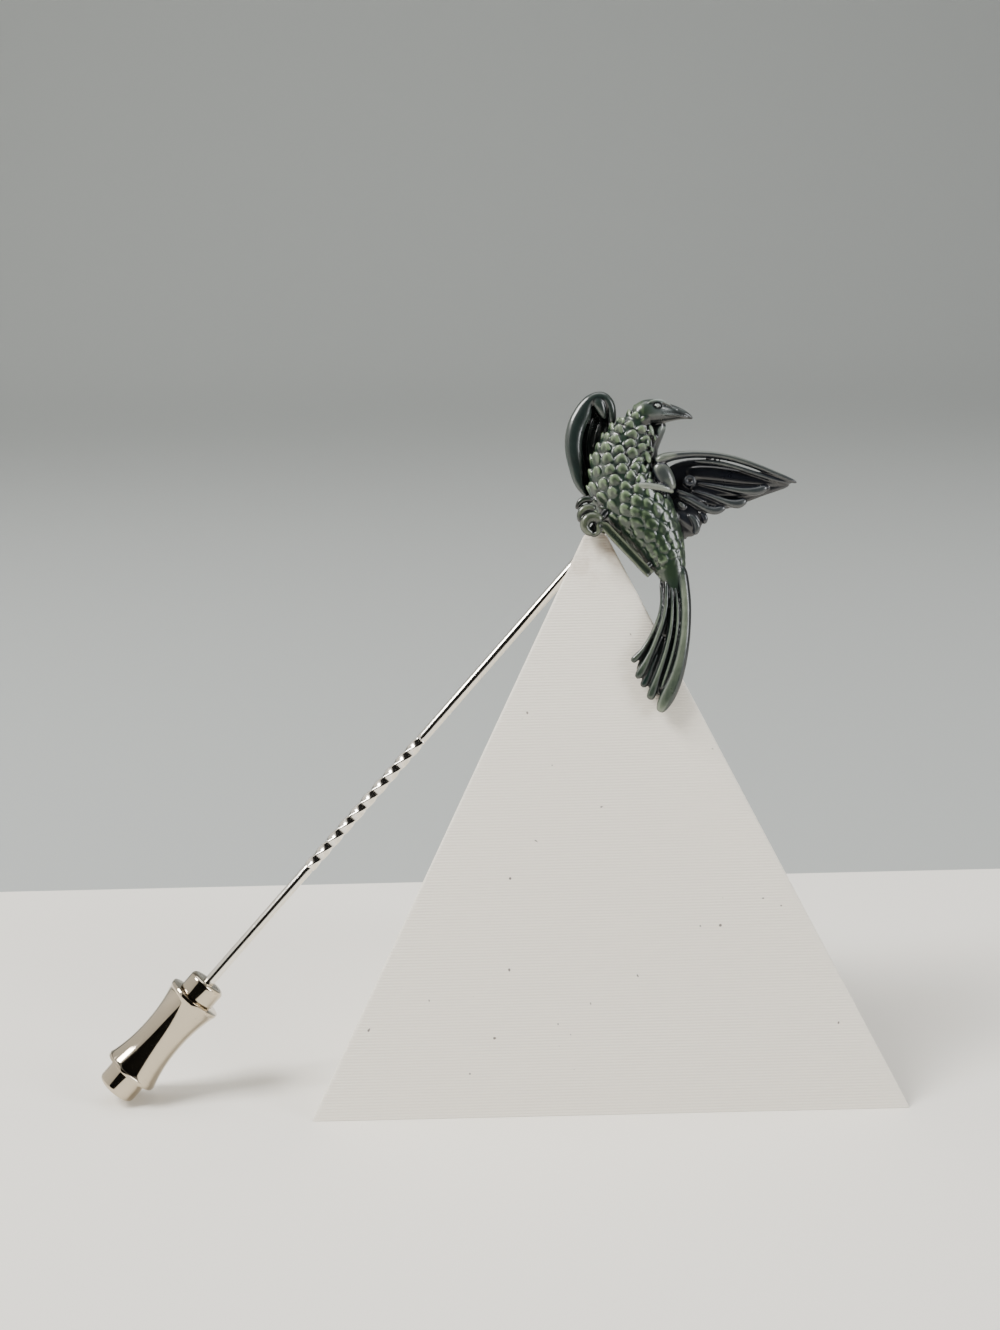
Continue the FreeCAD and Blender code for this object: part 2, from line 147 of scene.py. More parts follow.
class Shaper:
    """Modelling steps that the pieces share, all made with Blender's own operators."""

    @staticmethod
    def clear() -> None:
        """Leave edit mode and deselect everything."""
        if bpy.context.object and bpy.context.object.mode != "OBJECT":
            bpy.ops.object.mode_set(mode="OBJECT")
        bpy.ops.object.select_all(action="DESELECT")

    @staticmethod
    def choose(piece: Piece) -> None:
        """Select one object and make it the active one."""
        Shaper.clear()
        piece.select_set(True)
        bpy.context.view_layer.objects.active = piece

    @staticmethod
    def begun(name: str) -> Piece:
        """Open the primitive that was just added in edit mode, with all of it selected."""
        piece = bpy.context.object
        piece.name = name
        bpy.ops.object.transform_apply(location=True, rotation=True, scale=True)
        bpy.ops.object.mode_set(mode="EDIT")
        bpy.ops.mesh.select_all(action="SELECT")
        return piece

    @staticmethod
    def resize(size: Row, centre: Row = (0.0, 0.0, 0.0)) -> None:
        """Scale the selection of edit mode about a point."""
        bpy.ops.transform.resize(value=size, center_override=centre)

    @staticmethod
    def pick(test: Callable[[bmesh.types.BMVert], bool]) -> None:
        """Select the vertices of the mesh in edit mode that pass a test."""
        bpy.ops.mesh.select_mode(type="VERT")
        mesh = bmesh.from_edit_mesh(bpy.context.object.data)
        mesh.verts.index_update()
        for vertex in mesh.verts:
            vertex.select = test(vertex)
        mesh.select_flush_mode()
        bmesh.update_edit_mesh(bpy.context.object.data)

    @staticmethod
    def modified(piece: Piece, kind: str, **settings: object) -> Piece:
        """Give a piece a modifier with its settings and apply it."""
        Shaper.choose(piece)
        modifier = piece.modifiers.new(kind, kind)
        for key, value in settings.items():
            setattr(modifier, key, value)
        bpy.ops.object.modifier_apply(modifier=modifier.name)
        return piece

    @staticmethod
    def rings(name: str, ovals: Sequence[Oval], sides: int, closed: bool = False) -> Piece:
        """Skin a row of ovals.

        Args:
            name: name of the new object.
            ovals: centre, turn, half width and half depth of each oval.
            sides: vertices of each oval.
            closed: whether the last oval is joined to the first.
        Returns:
            The new object.
        """
        Shaper.clear()
        for number, (centre, turn, half_width, half_depth) in enumerate(ovals):
            bpy.ops.mesh.primitive_circle_add(vertices=sides, location=centre, rotation=turn.to_euler())
            if number == 0:
                piece = Shaper.begun(name)
            bpy.ops.transform.resize(
                value=(half_width, half_depth, 1.0),
                orient_type="GLOBAL",
                orient_matrix=turn,
                orient_matrix_type="GLOBAL",
                center_override=centre,
            )
        pairs = [(index, index + 1) for index in range(len(ovals) - 1)]
        if closed:
            pairs.append((len(ovals) - 1, 0))
        for pair in pairs:
            Shaper.pick(lambda vertex, pair=pair: vertex.index // sides in pair)
            bpy.ops.mesh.bridge_edge_loops()
        bpy.ops.mesh.select_all(action="SELECT")
        if not closed:
            bpy.ops.mesh.fill_holes(sides=0)
        bpy.ops.mesh.normals_make_consistent(inside=False)
        bpy.ops.object.mode_set(mode="OBJECT")
        return piece

    @staticmethod
    def drawn_through(sections: Sequence[Row], sides: int, closed: bool) -> list[Row]:
        """Rows whose subdivided skin passes through the given rows.

        Args:
            sections: rows of u, v, w, half width and half depth.
            sides: vertices of each oval.
            closed: whether the path returns to its start.
        Returns:
            The rows to skin.
        """
        shrink = (4.0 + 2.0 * math.cos(2.0 * math.pi / sides)) / 6.0
        target = [(*row[:3], row[3] / shrink, row[4] / shrink) for row in sections]
        rows = [list(row) for row in target]
        inner = range(len(rows)) if closed else range(1, len(rows) - 1)

        def reached(index: int) -> Row:
            """Where the subdivided skin runs at a row."""
            near = zip(rows[index - 1], rows[index], rows[(index + 1) % len(rows)])
            return tuple((before + 4.0 * here + after) / 6.0 for before, here, after in near)

        for _ in range(4):
            for index, got in [(index, reached(index)) for index in inner]:
                wanted = target[index]
                row = [have + want - now for have, want, now in zip(rows[index], wanted, got)]
                rows[index] = [*row[:3], max(row[3], 0.5 * wanted[3]), max(row[4], 0.5 * wanted[4])]
        return [tuple(row) for row in rows]

    @staticmethod
    def loft(name: str, sections: Sequence[Row], sides: int = 16, closed: bool = False) -> Piece:
        """Skin ovals along a path in the face frame.

        Args:
            name: name of the new object.
            sections: rows of u, v, w, half width and half depth.
            sides: vertices of each oval.
            closed: whether the path returns to its start.
        Returns:
            The new object.
        """
        out = Vector((0.0, 0.0, 1.0))
        sections = Shaper.drawn_through(sections, sides, closed)
        centres = [Vector(row[:3]) for row in sections]
        last = len(centres) - 1
        ovals = []
        for index, centre in enumerate(centres):
            ahead = centres[(index + 1) % len(centres)] if closed else centres[min(index + 1, last)]
            behind = centres[index - 1] if closed else centres[max(index - 1, 0)]
            direction = (ahead - behind).normalized()
            side = direction.cross(out).normalized()
            depth = side.cross(direction).normalized()
            turn = Matrix((side, depth, -direction)).transposed()
            ovals.append((centre, turn, *sections[index][3:]))
        return Shaper.rings(name, ovals, sides, closed)

    @staticmethod
    def turned(name: str, profile: Sequence[Row], sides: int = 64, closed: bool = False) -> Piece:
        """Skin circles along z, as on a lathe; a row is z and radius."""
        upright = Matrix.Identity(3)
        ovals = [(Vector((0.0, 0.0, height)), upright, radius, radius) for height, radius in profile]
        return Shaper.rings(name, ovals, sides, closed)

    @staticmethod
    def subdivided(piece: Piece, levels: int = 2) -> Piece:
        """Round a piece with applied subdivision."""
        return Shaper.modified(piece, "SUBSURF", levels=levels, render_levels=levels)

    @staticmethod
    def forms(name: str, tables: Iterable[Rows], sides: int = 16, levels: int = 2) -> list[Piece]:
        """Loft and round each table of rows."""
        return [Shaper.subdivided(Shaper.loft(name, rows, sides), levels) for rows in tables]

    @staticmethod
    def joined(name: str, pieces: Sequence[Piece]) -> Piece:
        """Join objects into one."""
        Shaper.clear()
        for piece in pieces:
            piece.select_set(True)
        bpy.context.view_layer.objects.active = pieces[0]
        if len(pieces) > 1:
            bpy.ops.object.join()
        whole = bpy.context.object
        whole.name = name
        whole.data.name = name
        return whole

    @staticmethod
    def cast(piece: Piece, voxel: float, soften: int) -> Piece:
        """Melt overlapping forms into one skin, as in a casting.

        Args:
            piece: object with the overlapping forms.
            voxel: grain of the new skin in millimetres.
            soften: smoothing passes.
        Returns:
            The same object.
        """
        Shaper.modified(piece, "REMESH", mode="VOXEL", voxel_size=voxel)
        return Shaper.modified(piece, "SMOOTH", factor=0.5, iterations=soften)

    @staticmethod
    def copied(piece: Piece, place: Matrix) -> Piece:
        """Copy of a piece with its own mesh, set down at a place."""
        twin = piece.copy()
        twin.data = piece.data.copy()
        twin.data.transform(place)
        bpy.context.scene.collection.objects.link(twin)
        return twin

    @staticmethod
    def set_down(piece: Piece, place: Matrix, flat_over: float | None = None) -> Piece:
        """Carry a finished piece from its bench to the row frame.

        Args:
            piece: object modelled in millimetres.
            place: matrix of the bench.
            flat_over: edges sharper than this many degrees stay sharp; None shades all smooth.
        Returns:
            The same object.
        """
        piece.data.transform(place)
        Shaper.choose(piece)
        if flat_over is None:
            bpy.ops.object.shade_smooth()
        else:
            bpy.ops.object.shade_smooth_by_angle(angle=math.radians(flat_over))
        return piece


class Value:
    """Socket of a shader node that takes part in Python expressions."""

    def __init__(self, shop: "MaterialShop", socket: bpy.types.NodeSocket) -> None:
        """Keep the socket and the shop that adds nodes."""
        self.shop = shop
        self.socket = socket

    def _math(self, operation: str, *values: "Value | float") -> "Value":
        """Result of one Math node."""
        return self.shop.node("ShaderNodeMath", {"operation": operation}, dict(enumerate(values)))

    def __add__(self, other: "Value | float") -> "Value":
        """Sum."""
        return self._math("ADD", self, other)

    def __radd__(self, other: float) -> "Value":
        """Sum with a number on the left."""
        return self._math("ADD", other, self)

    def __sub__(self, other: "Value | float") -> "Value":
        """Difference."""
        return self._math("SUBTRACT", self, other)

    def __rsub__(self, other: float) -> "Value":
        """Difference from a number."""
        return self._math("SUBTRACT", other, self)

    def __mul__(self, other: "Value | float") -> "Value":
        """Product."""
        return self._math("MULTIPLY", self, other)

    def __rmul__(self, other: float) -> "Value":
        """Product with a number on the left."""
        return self._math("MULTIPLY", other, self)

    def step(self, low: float, high: float) -> "Value":
        """Soft step from 0 at low to 1 at high."""
        return self.shop.node(
            "ShaderNodeMapRange",
            {"interpolation_type": "SMOOTHSTEP"},
            {"Value": self, "From Min": low, "From Max": high},
        )

    def wave(self, pitch: float) -> "Value":
        """Sine wave of a length given by its pitch."""
        return self._math("SINE", self * (2.0 * math.pi / pitch))


class MaterialShop:
    """Makes one node material."""

    def __init__(self, name: str) -> None:
        """Start an empty material with its shader."""
        self.material = bpy.data.materials.new(name)
        self.material.use_nodes = True
        self.nodes = self.material.node_tree.nodes
        self.links = self.material.node_tree.links
        self.nodes.clear()
        self.shader = self.nodes.new("ShaderNodeBsdfPrincipled")
        output = self.nodes.new("ShaderNodeOutputMaterial")
        self.links.new(self.shader.outputs["BSDF"], output.inputs["Surface"])

    def node(self, kind: str, settings: dict, inputs: dict, output: int | str = 0) -> Value:
        """Add a node.

        Args:
            kind: type of the node.
            settings: its options, set first; "stops" fills a colour ramp.
            inputs: values or links of its sockets.
            output: which output is returned.
        Returns:
            The output as a value.
        """
        made = self.nodes.new(kind)
        for key, value in settings.items():
            if key == "stops":
                self._fill_ramp(made.color_ramp, value)
            else:
                setattr(made, key, value)
        for key, value in inputs.items():
            self._feed(made.inputs[key], value)
        return Value(self, made.outputs[output])

    def _fill_ramp(self, ramp: bpy.types.ColorRamp, stops: Sequence[tuple[float, Row]]) -> None:
        """Set a colour ramp's stops."""
        while len(ramp.elements) < len(stops):
            ramp.elements.new(0.5)
        for element, (position, colour) in zip(ramp.elements, stops):
            element.position = position
            element.color = (*colour, 1.0)

    def _feed(self, socket: bpy.types.NodeSocket, value: "Value | float | Row") -> None:
        """Link or set one input."""
        if isinstance(value, Value):
            self.links.new(value.socket, socket)
        elif isinstance(value, tuple) and len(value) == 3 and socket.type == "RGBA":
            socket.default_value = (*value, 1.0)
        else:
            socket.default_value = value

    def place(self) -> Value:
        """Object coordinates."""
        return self.node("ShaderNodeTexCoord", {}, {}, "Object")

    def axis(self, vector: Value, name: str) -> Value:
        """One coordinate of a vector."""
        return self.node("ShaderNodeSeparateXYZ", {}, {0: vector}, name)

    def stored(self, name: str) -> Value:
        """Number stored on the mesh."""
        return self.node("ShaderNodeAttribute", {"attribute_name": name}, {}, "Fac")

    def noise(self, vector: Value, scale: float, detail: float = 3.0, roughness: float = 0.5) -> Value:
        """Cloudy noise from 0 to 1."""
        sockets = {"Vector": vector, "Scale": scale, "Detail": detail, "Roughness": roughness}
        return self.node("ShaderNodeTexNoise", {}, sockets)

    def mixed(self, share: "Value | float", first: "Value | Row", second: "Value | Row") -> Value:
        """Mix of two colours."""
        sockets = {0: share, MIX_FIRST: first, MIX_SECOND: second}
        return self.node("ShaderNodeMix", {"data_type": "RGBA"}, sockets, MIX_COLOUR)

    def ramp(self, share: Value, stops: Row, colours: Rows) -> Value:
        """Colour looked up along a ramp."""
        return self.node("ShaderNodeValToRGB", {"stops": tuple(zip(stops, colours))}, {"Fac": share})

    def bump(self, height: Value, strength: float, distance: float) -> None:
        """Give the shader a relief."""
        sockets = {"Height": height, "Strength": strength, "Distance": distance}
        self.dress(Normal=self.node("ShaderNodeBump", {}, sockets, "Normal"))

    def dress(self, **sockets: "Value | float | Row") -> None:
        """Set or link the shader's sockets, spaces in their names written as underscores."""
        for key, value in sockets.items():
            self._feed(self.shader.inputs[key.replace("_", " ")], value)


@dataclass(frozen=True)
class EnamelFinish:
    """Sage enamel wash over dark antiqued cast metal, glossy."""

    name: str
    pit: Row = (0.002, 0.004, 0.004)
    shade: Row = (0.012, 0.026, 0.018)
    middle: Row = (0.017, 0.032, 0.016)
    crest: Row = (0.157, 0.218, 0.127)
    patch: Row = (0.083, 0.099, 0.078)
    stops: Row = (0.22, 0.46, 0.68, 0.93)
    slate_head: bool = False
    slates: Rows = ((0.022, 0.028, 0.028), (0.11, 0.13, 0.13), (0.34, 0.38, 0.37))
    slate_stops: Row = (0.18, 0.42, 0.66, 0.94)
    head_x: Row = (0.0038, 0.0052)
    head_z: Row = (0.0476, 0.0488)
    roughness: float = 0.30

    def made(self) -> bpy.types.Material:
        """Material that goes from the dark pits to the pale crests by the stored relief."""
        shop = MaterialShop(self.name)
        place = shop.place()
        cloud = shop.noise(place, 420.0, 3.0, 0.6)
        fine = shop.noise(place, 1900.0, 2.0, 0.5)
        height = shop.stored("relief") + (cloud - 0.5) * 0.22 + (fine - 0.5) * 0.12
        base = shop.ramp(height, self.stops, (self.pit, self.shade, self.middle, self.crest))
        if self.slate_head:
            head = shop.axis(place, "X").step(*self.head_x) * shop.axis(place, "Z").step(*self.head_z) * 0.85
            base = shop.mixed(head, base, shop.ramp(height, self.slate_stops, (self.pit, *self.slates)))
        patchy = shop.noise(place, 230.0, 2.0, 0.5).step(0.50, 0.66) * height.step(0.5, 0.9) * 0.6
        shop.dress(
            Base_Color=shop.mixed(patchy, base, self.patch),
            Roughness=self.roughness - (cloud - 0.5) * 0.18,
            Coat_Weight=0.50,
            Coat_Roughness=0.07,
            Specular_IOR_Level=0.55,
        )
        shop.bump(fine, 0.25, 0.00004)
        return shop.material


@dataclass(frozen=True)
class PolishedFinish:
    """Polished nickel plate with faint handling marks."""

    name: str
    colour: Row = (0.80, 0.77, 0.72)
    roughness: float = 0.09
    wear: float = 0.10

    def made(self) -> bpy.types.Material:
        """Metal whose gloss and tint vary a little."""
        shop = MaterialShop(self.name)
        place = shop.place()
        cloud = shop.noise(place, 300.0, 4.0, 0.6)
        specks = shop.noise(place, 2600.0, 2.0, 0.5).step(0.66, 0.78)
        shop.dress(
            Base_Color=shop.mixed(cloud * 0.25 + specks * 0.35, self.colour, dimmed(self.colour, 0.72)),
            Roughness=self.roughness + cloud * self.wear + specks * 0.12,
            Metallic=1.0,
        )
        shop.bump(cloud, 0.10, 0.00002)
        return shop.material


@dataclass(frozen=True)
class PrintedFinish:
    """Off-white printed plastic with fine layer lines, a few dark specks and a painted brownish shadow near
    its tip.
    """

    name: str
    colour: Row = (0.93, 0.88, 0.78)
    tip_shadow: Row = (0.52, 0.40, 0.30)
    speck: Row = (0.10, 0.085, 0.07)
    layer: float = 0.0002
    tip_shadow_heights: Row = (0.0360, 0.0411)

    def made(self) -> bpy.types.Material:
        """Plastic whose layers show as a fine relief."""
        shop = MaterialShop(self.name)
        place = shop.place()
        height = shop.axis(place, "Z")
        cloud = shop.noise(place, 60.0, 3.0, 0.5)
        lines = height.wave(self.layer)
        broken = shop.noise(place, 700.0, 2.0, 0.5)
        spots = shop.noise(place, 1500.0, 1.0, 0.4).step(0.79, 0.82)
        # Painted brownish shadow under the perch, mixed into the plastic's colour near the stand's tip.
        tip_shadow_mask = height.step(*self.tip_shadow_heights) * shop.noise(place, 500.0, 3.0, 0.6).step(0.35, 0.75)
        uneven = cloud * 0.10 + (lines * 0.5 + 0.5) * 0.05
        base = shop.mixed(uneven, self.colour, dimmed(self.colour, 0.86))
        base = shop.mixed(tip_shadow_mask, base, self.tip_shadow)
        shop.dress(
            Base_Color=shop.mixed(spots * 0.85, base, self.speck),
            Roughness=0.62,
            Specular_IOR_Level=0.35,
        )
        shop.bump(lines * (0.6 + broken * 0.8), 0.35, 0.00003)
        return shop.material


@dataclass(frozen=True)
class StageFinish:
    """Plain paper of the floor, the backdrop and the cards, which may glow."""

    name: str
    colour: Row
    roughness: float = 0.8
    glow: float = 0.0

    def made(self) -> bpy.types.Material:
        """Matte material with a very faint unevenness."""
        shop = MaterialShop(self.name)
        cloud = shop.noise(shop.place(), 40.0, 2.0, 0.5)
        shop.dress(
            Base_Color=shop.mixed(cloud * 0.08, self.colour, dimmed(self.colour, 0.9)),
            Roughness=self.roughness,
            Specular_IOR_Level=0.2,
            Emission_Color=self.colour,
            Emission_Strength=self.glow,
        )
        return shop.material


class Relief:
    """Stores on each mesh how far it stands out of the casting's pits."""

    pit_share = 0.46
    crest_share = 0.98
    open_weight = 0.72
    ridge_weight = 0.27
    ridge_slope = 0.8
    ridge_middle = 0.75
    off_skin = 0.02

    def __init__(self, pieces: Sequence[Piece], reach: float = 1.0, rays: int = 22) -> None:
        """Take all pieces that shade each other, still in millimetres.

        Args:
            pieces: objects of the casting.
            reach: how far a wall darkens its neighbour, in millimetres.
            rays: directions tried from each point.
        """
        self.pieces = list(pieces)
        self.reach = reach
        points: list[Vector] = []
        faces: list[list[int]] = []
        for piece in self.pieces:
            start = len(points)
            points.extend(vertex.co for vertex in piece.data.vertices)
            faces.extend([start + index for index in polygon.vertices] for polygon in piece.data.polygons)
        self.tree = BVHTree.FromPolygons(points, faces)
        golden = math.pi * (3.0 - math.sqrt(5.0))
        self.rays = []
        for index in range(rays):
            height = math.sqrt(1.0 - (index + 0.5) / rays)
            spread = math.sqrt(1.0 - height * height)
            turn = golden * index
            self.rays.append(Vector((spread * math.cos(turn), spread * math.sin(turn), height)))

    def openness(self, place: Vector, normal: Vector) -> float:
        """Share of the half space over a point that is free within reach."""
        turn = normal.to_track_quat("Z", "Y").to_matrix()
        start = place + normal * self.off_skin
        free = 0.0
        for ray in self.rays:
            hit = self.tree.ray_cast(start, turn @ ray, self.reach)
            free += 1.0 if hit[3] is None else (hit[3] / self.reach) ** 1.5
        return free / len(self.rays)

    @staticmethod
    def ridges(piece: Piece) -> np.ndarray:
        """How convex the skin is at each vertex, as its bend per millimetre, hollows negative."""
        mesh = piece.data
        count = len(mesh.vertices)
        place = np.empty(count * 3, np.float32)
        mesh.vertices.foreach_get("co", place)
        place = place.reshape(-1, 3)
        normal = np.empty(count * 3, np.float32)
        mesh.vertex_normals.foreach_get("vector", normal)
        normal = normal.reshape(-1, 3)
        ends = np.empty(len(mesh.edges) * 2, np.int32)
        mesh.edges.foreach_get("vertices", ends)
        first, second = ends.reshape(-1, 2).T
        degree = np.bincount(ends, minlength=count).astype(np.float32)

        def around(values: np.ndarray) -> np.ndarray:
            """Mean of each vertex's neighbours."""
            total = np.bincount(first, values[second], count) + np.bincount(second, values[first], count)
            return total / np.maximum(degree, 1.0)

        for _ in range(3):
            normal = np.stack([around(normal[:, axis]) for axis in range(3)], 1)
        step = place[second] - place[first]
        square = (step**2).sum(1)
        bend = ((normal[second] - normal[first]) * step).sum(1) / np.maximum(square, 1e-9)
        total = np.bincount(first, bend, count) + np.bincount(second, bend, count)
        convex = total / np.maximum(degree, 1.0)
        for _ in range(2):
            convex = around(convex)
        return convex

    def store(self, piece: Piece, tone: Callable[[Vector, Vector, float], float]) -> None:
        """Write the relief of one piece.

        Args:
            piece: object to write on.
            tone: relief from the place, the normal and how far the spot stands out.
        """
        values = []
        for vertex, convex in zip(piece.data.vertices, self.ridges(piece)):
            free = smooth(self.pit_share, self.crest_share, self.openness(vertex.co, vertex.normal))
            ridge = math.tanh(self.ridge_slope * (float(convex) - self.ridge_middle))
            level = min(1.0, max(0.0, free * self.open_weight + self.ridge_weight * ridge))
            values.append(tone(vertex.co, vertex.normal, level))
        attribute = piece.data.attributes.new("relief", "FLOAT", "POINT")
        attribute.data.foreach_set("value", values)


@dataclass
class BirdBody:
    """Body, neck and head with their raised scales."""

    sections: Rows = (
        (3.95, 7.35, -0.50, 0.70, 0.70),
        (3.50, 6.50, -0.55, 1.12, 0.98),
        (2.85, 5.20, -0.70, 1.88, 1.38),
        (2.15, 3.50, -0.80, 2.28, 1.76),
        (2.15, 1.70, -0.85, 2.52, 2.00),
        (3.20, 0.10, -0.85, 2.62, 2.08),
        (4.25, -1.45, -0.75, 2.24, 1.90),
        (5.02, -3.10, -0.40, 1.70, 1.42),
        (5.56, -4.70, -0.02, 1.14, 0.92),
        (5.80, -6.20, 0.26, 0.72, 0.50),
        (5.84, -7.40, 0.36, 0.30, 0.20),
    )
    head: Rows = (
        (3.15, 6.55, -0.45, 0.55, 0.60),
        (3.75, 7.10, -0.42, 0.96, 0.94),
        (4.45, 7.30, -0.40, 1.02, 0.98),
        (5.15, 7.30, -0.38, 0.92, 0.84),
        (5.80, 7.22, -0.38, 0.72, 0.62),
        (6.45, 7.15, -0.38, 0.52, 0.46),
        (7.00, 7.02, -0.38, 0.34, 0.34),
        (7.42, 6.84, -0.38, 0.16, 0.18),
        (7.58, 6.70, -0.38, 0.06, 0.07),
    )
    throat: Rows = (
        (5.35, 6.70, -0.62, 0.42, 0.50),
        (4.95, 5.90, -0.80, 0.55, 0.70),
        (4.50, 5.00, -0.95, 0.62, 0.85),
        (4.35, 4.10, -1.05, 0.60, 0.85),
        (4.60, 3.10, -1.10, 0.55, 0.80),
    )
    # u, v, w, half width, half length, lean in degrees
    leaves: Rows = (
        (4.30, 5.95, 0.10, 0.24, 0.60, -22.0),
        (4.62, 5.30, -0.10, 0.16, 0.26, -14.0),
        (3.92, 5.05, 0.36, 0.26, 0.56, -20.0),
        (4.30, 4.45, 0.12, 0.14, 0.42, -24.0),
        (3.98, 3.75, 0.52, 0.28, 0.56, -22.0),
        (3.62, 2.85, 0.78, 0.24, 0.42, -28.0),
    )
    brow: Rows = (
        (4.05, 7.72, 0.38, 0.05, 0.06),
        (4.45, 7.95, 0.40, 0.11, 0.12),
        (5.00, 8.02, 0.36, 0.12, 0.13),
        (5.55, 7.86, 0.26, 0.11, 0.12),
        (6.05, 7.62, 0.12, 0.05, 0.06),
    )
    gape: Rows = (
        (5.25, 6.98, 0.40, 0.05, 0.05),
        (5.95, 6.96, 0.20, 0.07, 0.07),
        (6.70, 6.88, 0.02, 0.06, 0.06),
        (7.25, 6.76, -0.14, 0.04, 0.04),
    )
    nostril: Rows = (
        (5.95, 7.45, 0.14, 0.05, 0.05),
        (6.22, 7.42, 0.08, 0.09, 0.08),
        (6.50, 7.34, -0.02, 0.04, 0.05),
    )
    eye: Row = (4.90, 7.62, 0.46)
    row_pitch: float = 0.70
    scale_pitch: float = 1.00
    first_row: float = 0.25
    end_row: float = 8.8
    scale_lift: float = 22.0
    wing_row: float = 3.2
    chance_seed: int = 7
    grain: float = 0.058

    def section(self, place: float) -> tuple[int, Row]:
        """Index of the section before a place down the body, and the oval there."""
        index = min(int(place), len(self.sections) - 2)
        pair = zip(self.sections[index], self.sections[index + 1])
        return index, tuple(blend(low, high, place - index) for low, high in pair)

    def skin(self, place: float, angle_degrees: float) -> tuple[Vector, Vector, Vector]:
        """Point on the body's skin, the way out there and the way down the body."""
        index, row = self.section(place)
        last = len(self.sections) - 1
        ways = []
        for node in (index, index + 1):
            before, after = self.sections[max(node - 1, 0)], self.sections[min(node + 1, last)]
            ways.append((Vector(after[:3]) - Vector(before[:3])).normalized())
        direction = ways[0].lerp(ways[1], place - index).normalized()
        side = direction.cross(Vector((0.0, 0.0, 1.0))).normalized()
        depth = side.cross(direction).normalized()
        turn = math.radians(angle_degrees)
        across = side * (row[3] * math.cos(turn)) + depth * (row[4] * math.sin(turn))
        outward = (side * (math.cos(turn) / row[3]) + depth * (math.sin(turn) / row[4])).normalized()
        return Vector(row[:3]) + across, outward, direction

    def pattern_scale(self) -> Piece:
        """One scale: a tongue, thick and blunt at its lower end, that sinks in at its upper end."""
        Shaper.clear()
        bpy.ops.mesh.primitive_uv_sphere_add(segments=12, ring_count=8, radius=1.0, location=(0, 0, 0))
        scale = Shaper.begun("scale")
        Shaper.resize((0.94, 1.0, 0.46))
        Shaper.pick(lambda vertex: vertex.co.y > 0.30)
        Shaper.resize((0.86, 1.05, 1.0), (0, 0.3, 0))
        Shaper.pick(lambda vertex: vertex.co.y < -0.2)
        Shaper.resize((1.04, 0.92, 1.30), (0, -0.2, 0))
        Shaper.pick(lambda vertex: abs(vertex.co.x) < 0.3 and vertex.co.z > 0.2)
        bpy.ops.transform.translate(value=(0, 0, -0.05))
        bpy.ops.object.mode_set(mode="OBJECT")
        return scale

    def scales(self) -> list[Piece]:
        """Staggered rows of overlapping scales down the body."""
        pattern = self.pattern_scale()
        chance = random.Random(self.chance_seed)
        placed = []
        place, row = self.first_row, 0
        while place < self.end_row:
            index, (*_, half_width, half_depth) = self.section(place)
            low, high = self.sections[index], self.sections[index + 1]
            spacing = (Vector(high[:3]) - Vector(low[:3])).length
            size = blend(0.80, 1.0, smooth(0.0, 3.0, place)) * blend(1.0, 0.74, smooth(6.0, 8.6, place))
            girth = math.pi * 0.5 * (half_width + half_depth)
            count = max(3, round(girth / (self.scale_pitch * size)))
            fade = 1.0 - 0.45 * smooth(7.2, self.end_row, place)
            for number in range(-1, count + 2):
                angle = 180.0 * (number + (0.5 if row % 2 else 0.0)) / count
                angle += chance.uniform(-2.5, 2.5)
                if angle < -24.0 or angle > 196.0 or (place < self.wing_row and angle > 150.0):
                    continue
                point, outward, down = self.skin(place, angle)
                half = 0.5 * self.scale_pitch * size * chance.uniform(0.98, 1.12)
                right = (-down).cross(outward).normalized()
                up = outward.cross(right).normalized()
                turn = Matrix((right, up, outward)).transposed().to_4x4()
                tilt = Matrix.Rotation(math.radians(self.scale_lift), 4, "X")
                tilt = tilt @ Matrix.Rotation(chance.uniform(-0.14, 0.14), 4, "Z")
                spread = Matrix.Diagonal((half * 1.16, half * 1.38, half * fade, 1.0))
                here = point - outward * (0.12 + 0.14 * (1.0 - fade)) + down * 0.06
                placed.append(Shaper.copied(pattern, Matrix.Translation(here) @ turn @ tilt @ spread))
            place += self.row_pitch * size / spacing
            row += 1
        bpy.data.objects.remove(pattern, do_unlink=True)
        return placed

    def throat_scales(self) -> list[Piece]:
        """Long pale scales that hang along the dark throat."""
        steps = ((-1.0, 0.25), (-0.6, 0.75), (0.0, 1.0), (0.6, 0.8), (1.0, 0.2))
        tables = []
        for u, v, w, half_width, half_length, lean in self.leaves:
            turn = math.radians(lean)
            along = Vector((-math.sin(turn), -math.cos(turn), 0.10))
            middle = Vector((u, v, w))
            tables.append(
                [(*(middle + along * (half_length * s)), half_width * k, 0.17 * k + 0.05) for s, k in steps]
            )
        return Shaper.forms("leaf", tables, 10, 1)

    def eye_forms(self) -> list[Piece]:
        """Bead of the eye, its lid and the brow over it."""
        u, v, w = self.eye
        Shaper.clear()
        bpy.ops.mesh.primitive_uv_sphere_add(segments=20, ring_count=14, radius=0.17, location=self.eye)
        bead = Shaper.begun("eye_bead")
        Shaper.resize((1.25, 0.85, 0.9), self.eye)
        bpy.ops.object.mode_set(mode="OBJECT")
        ring = [
            (u + 0.34 * math.cos(turn), v + 0.24 * math.sin(turn), w - 0.04, 0.06, 0.07)
            for turn in (2.0 * math.pi * step / 14 for step in range(14))
        ]
        lid = Shaper.loft("lid", ring, 8, True)
        rounded = [Shaper.subdivided(piece, 1) for piece in (bead, lid)]
        return rounded + Shaper.forms("brow", [self.brow], 10, 1)

    def build(self) -> Piece:
        """Cast the body, neck and head with all that stands on them."""
        core = Shaper.forms("core", (self.sections, self.head, self.throat))
        small = self.throat_scales() + self.eye_forms()
        small += Shaper.forms("beak", (self.gape, self.nostril), 8, 1)
        scales = Shaper.subdivided(Shaper.joined("scales", self.scales()), 1)
        return Shaper.cast(Shaper.joined("bird_body", core + small + [scales]), self.grain, 1)

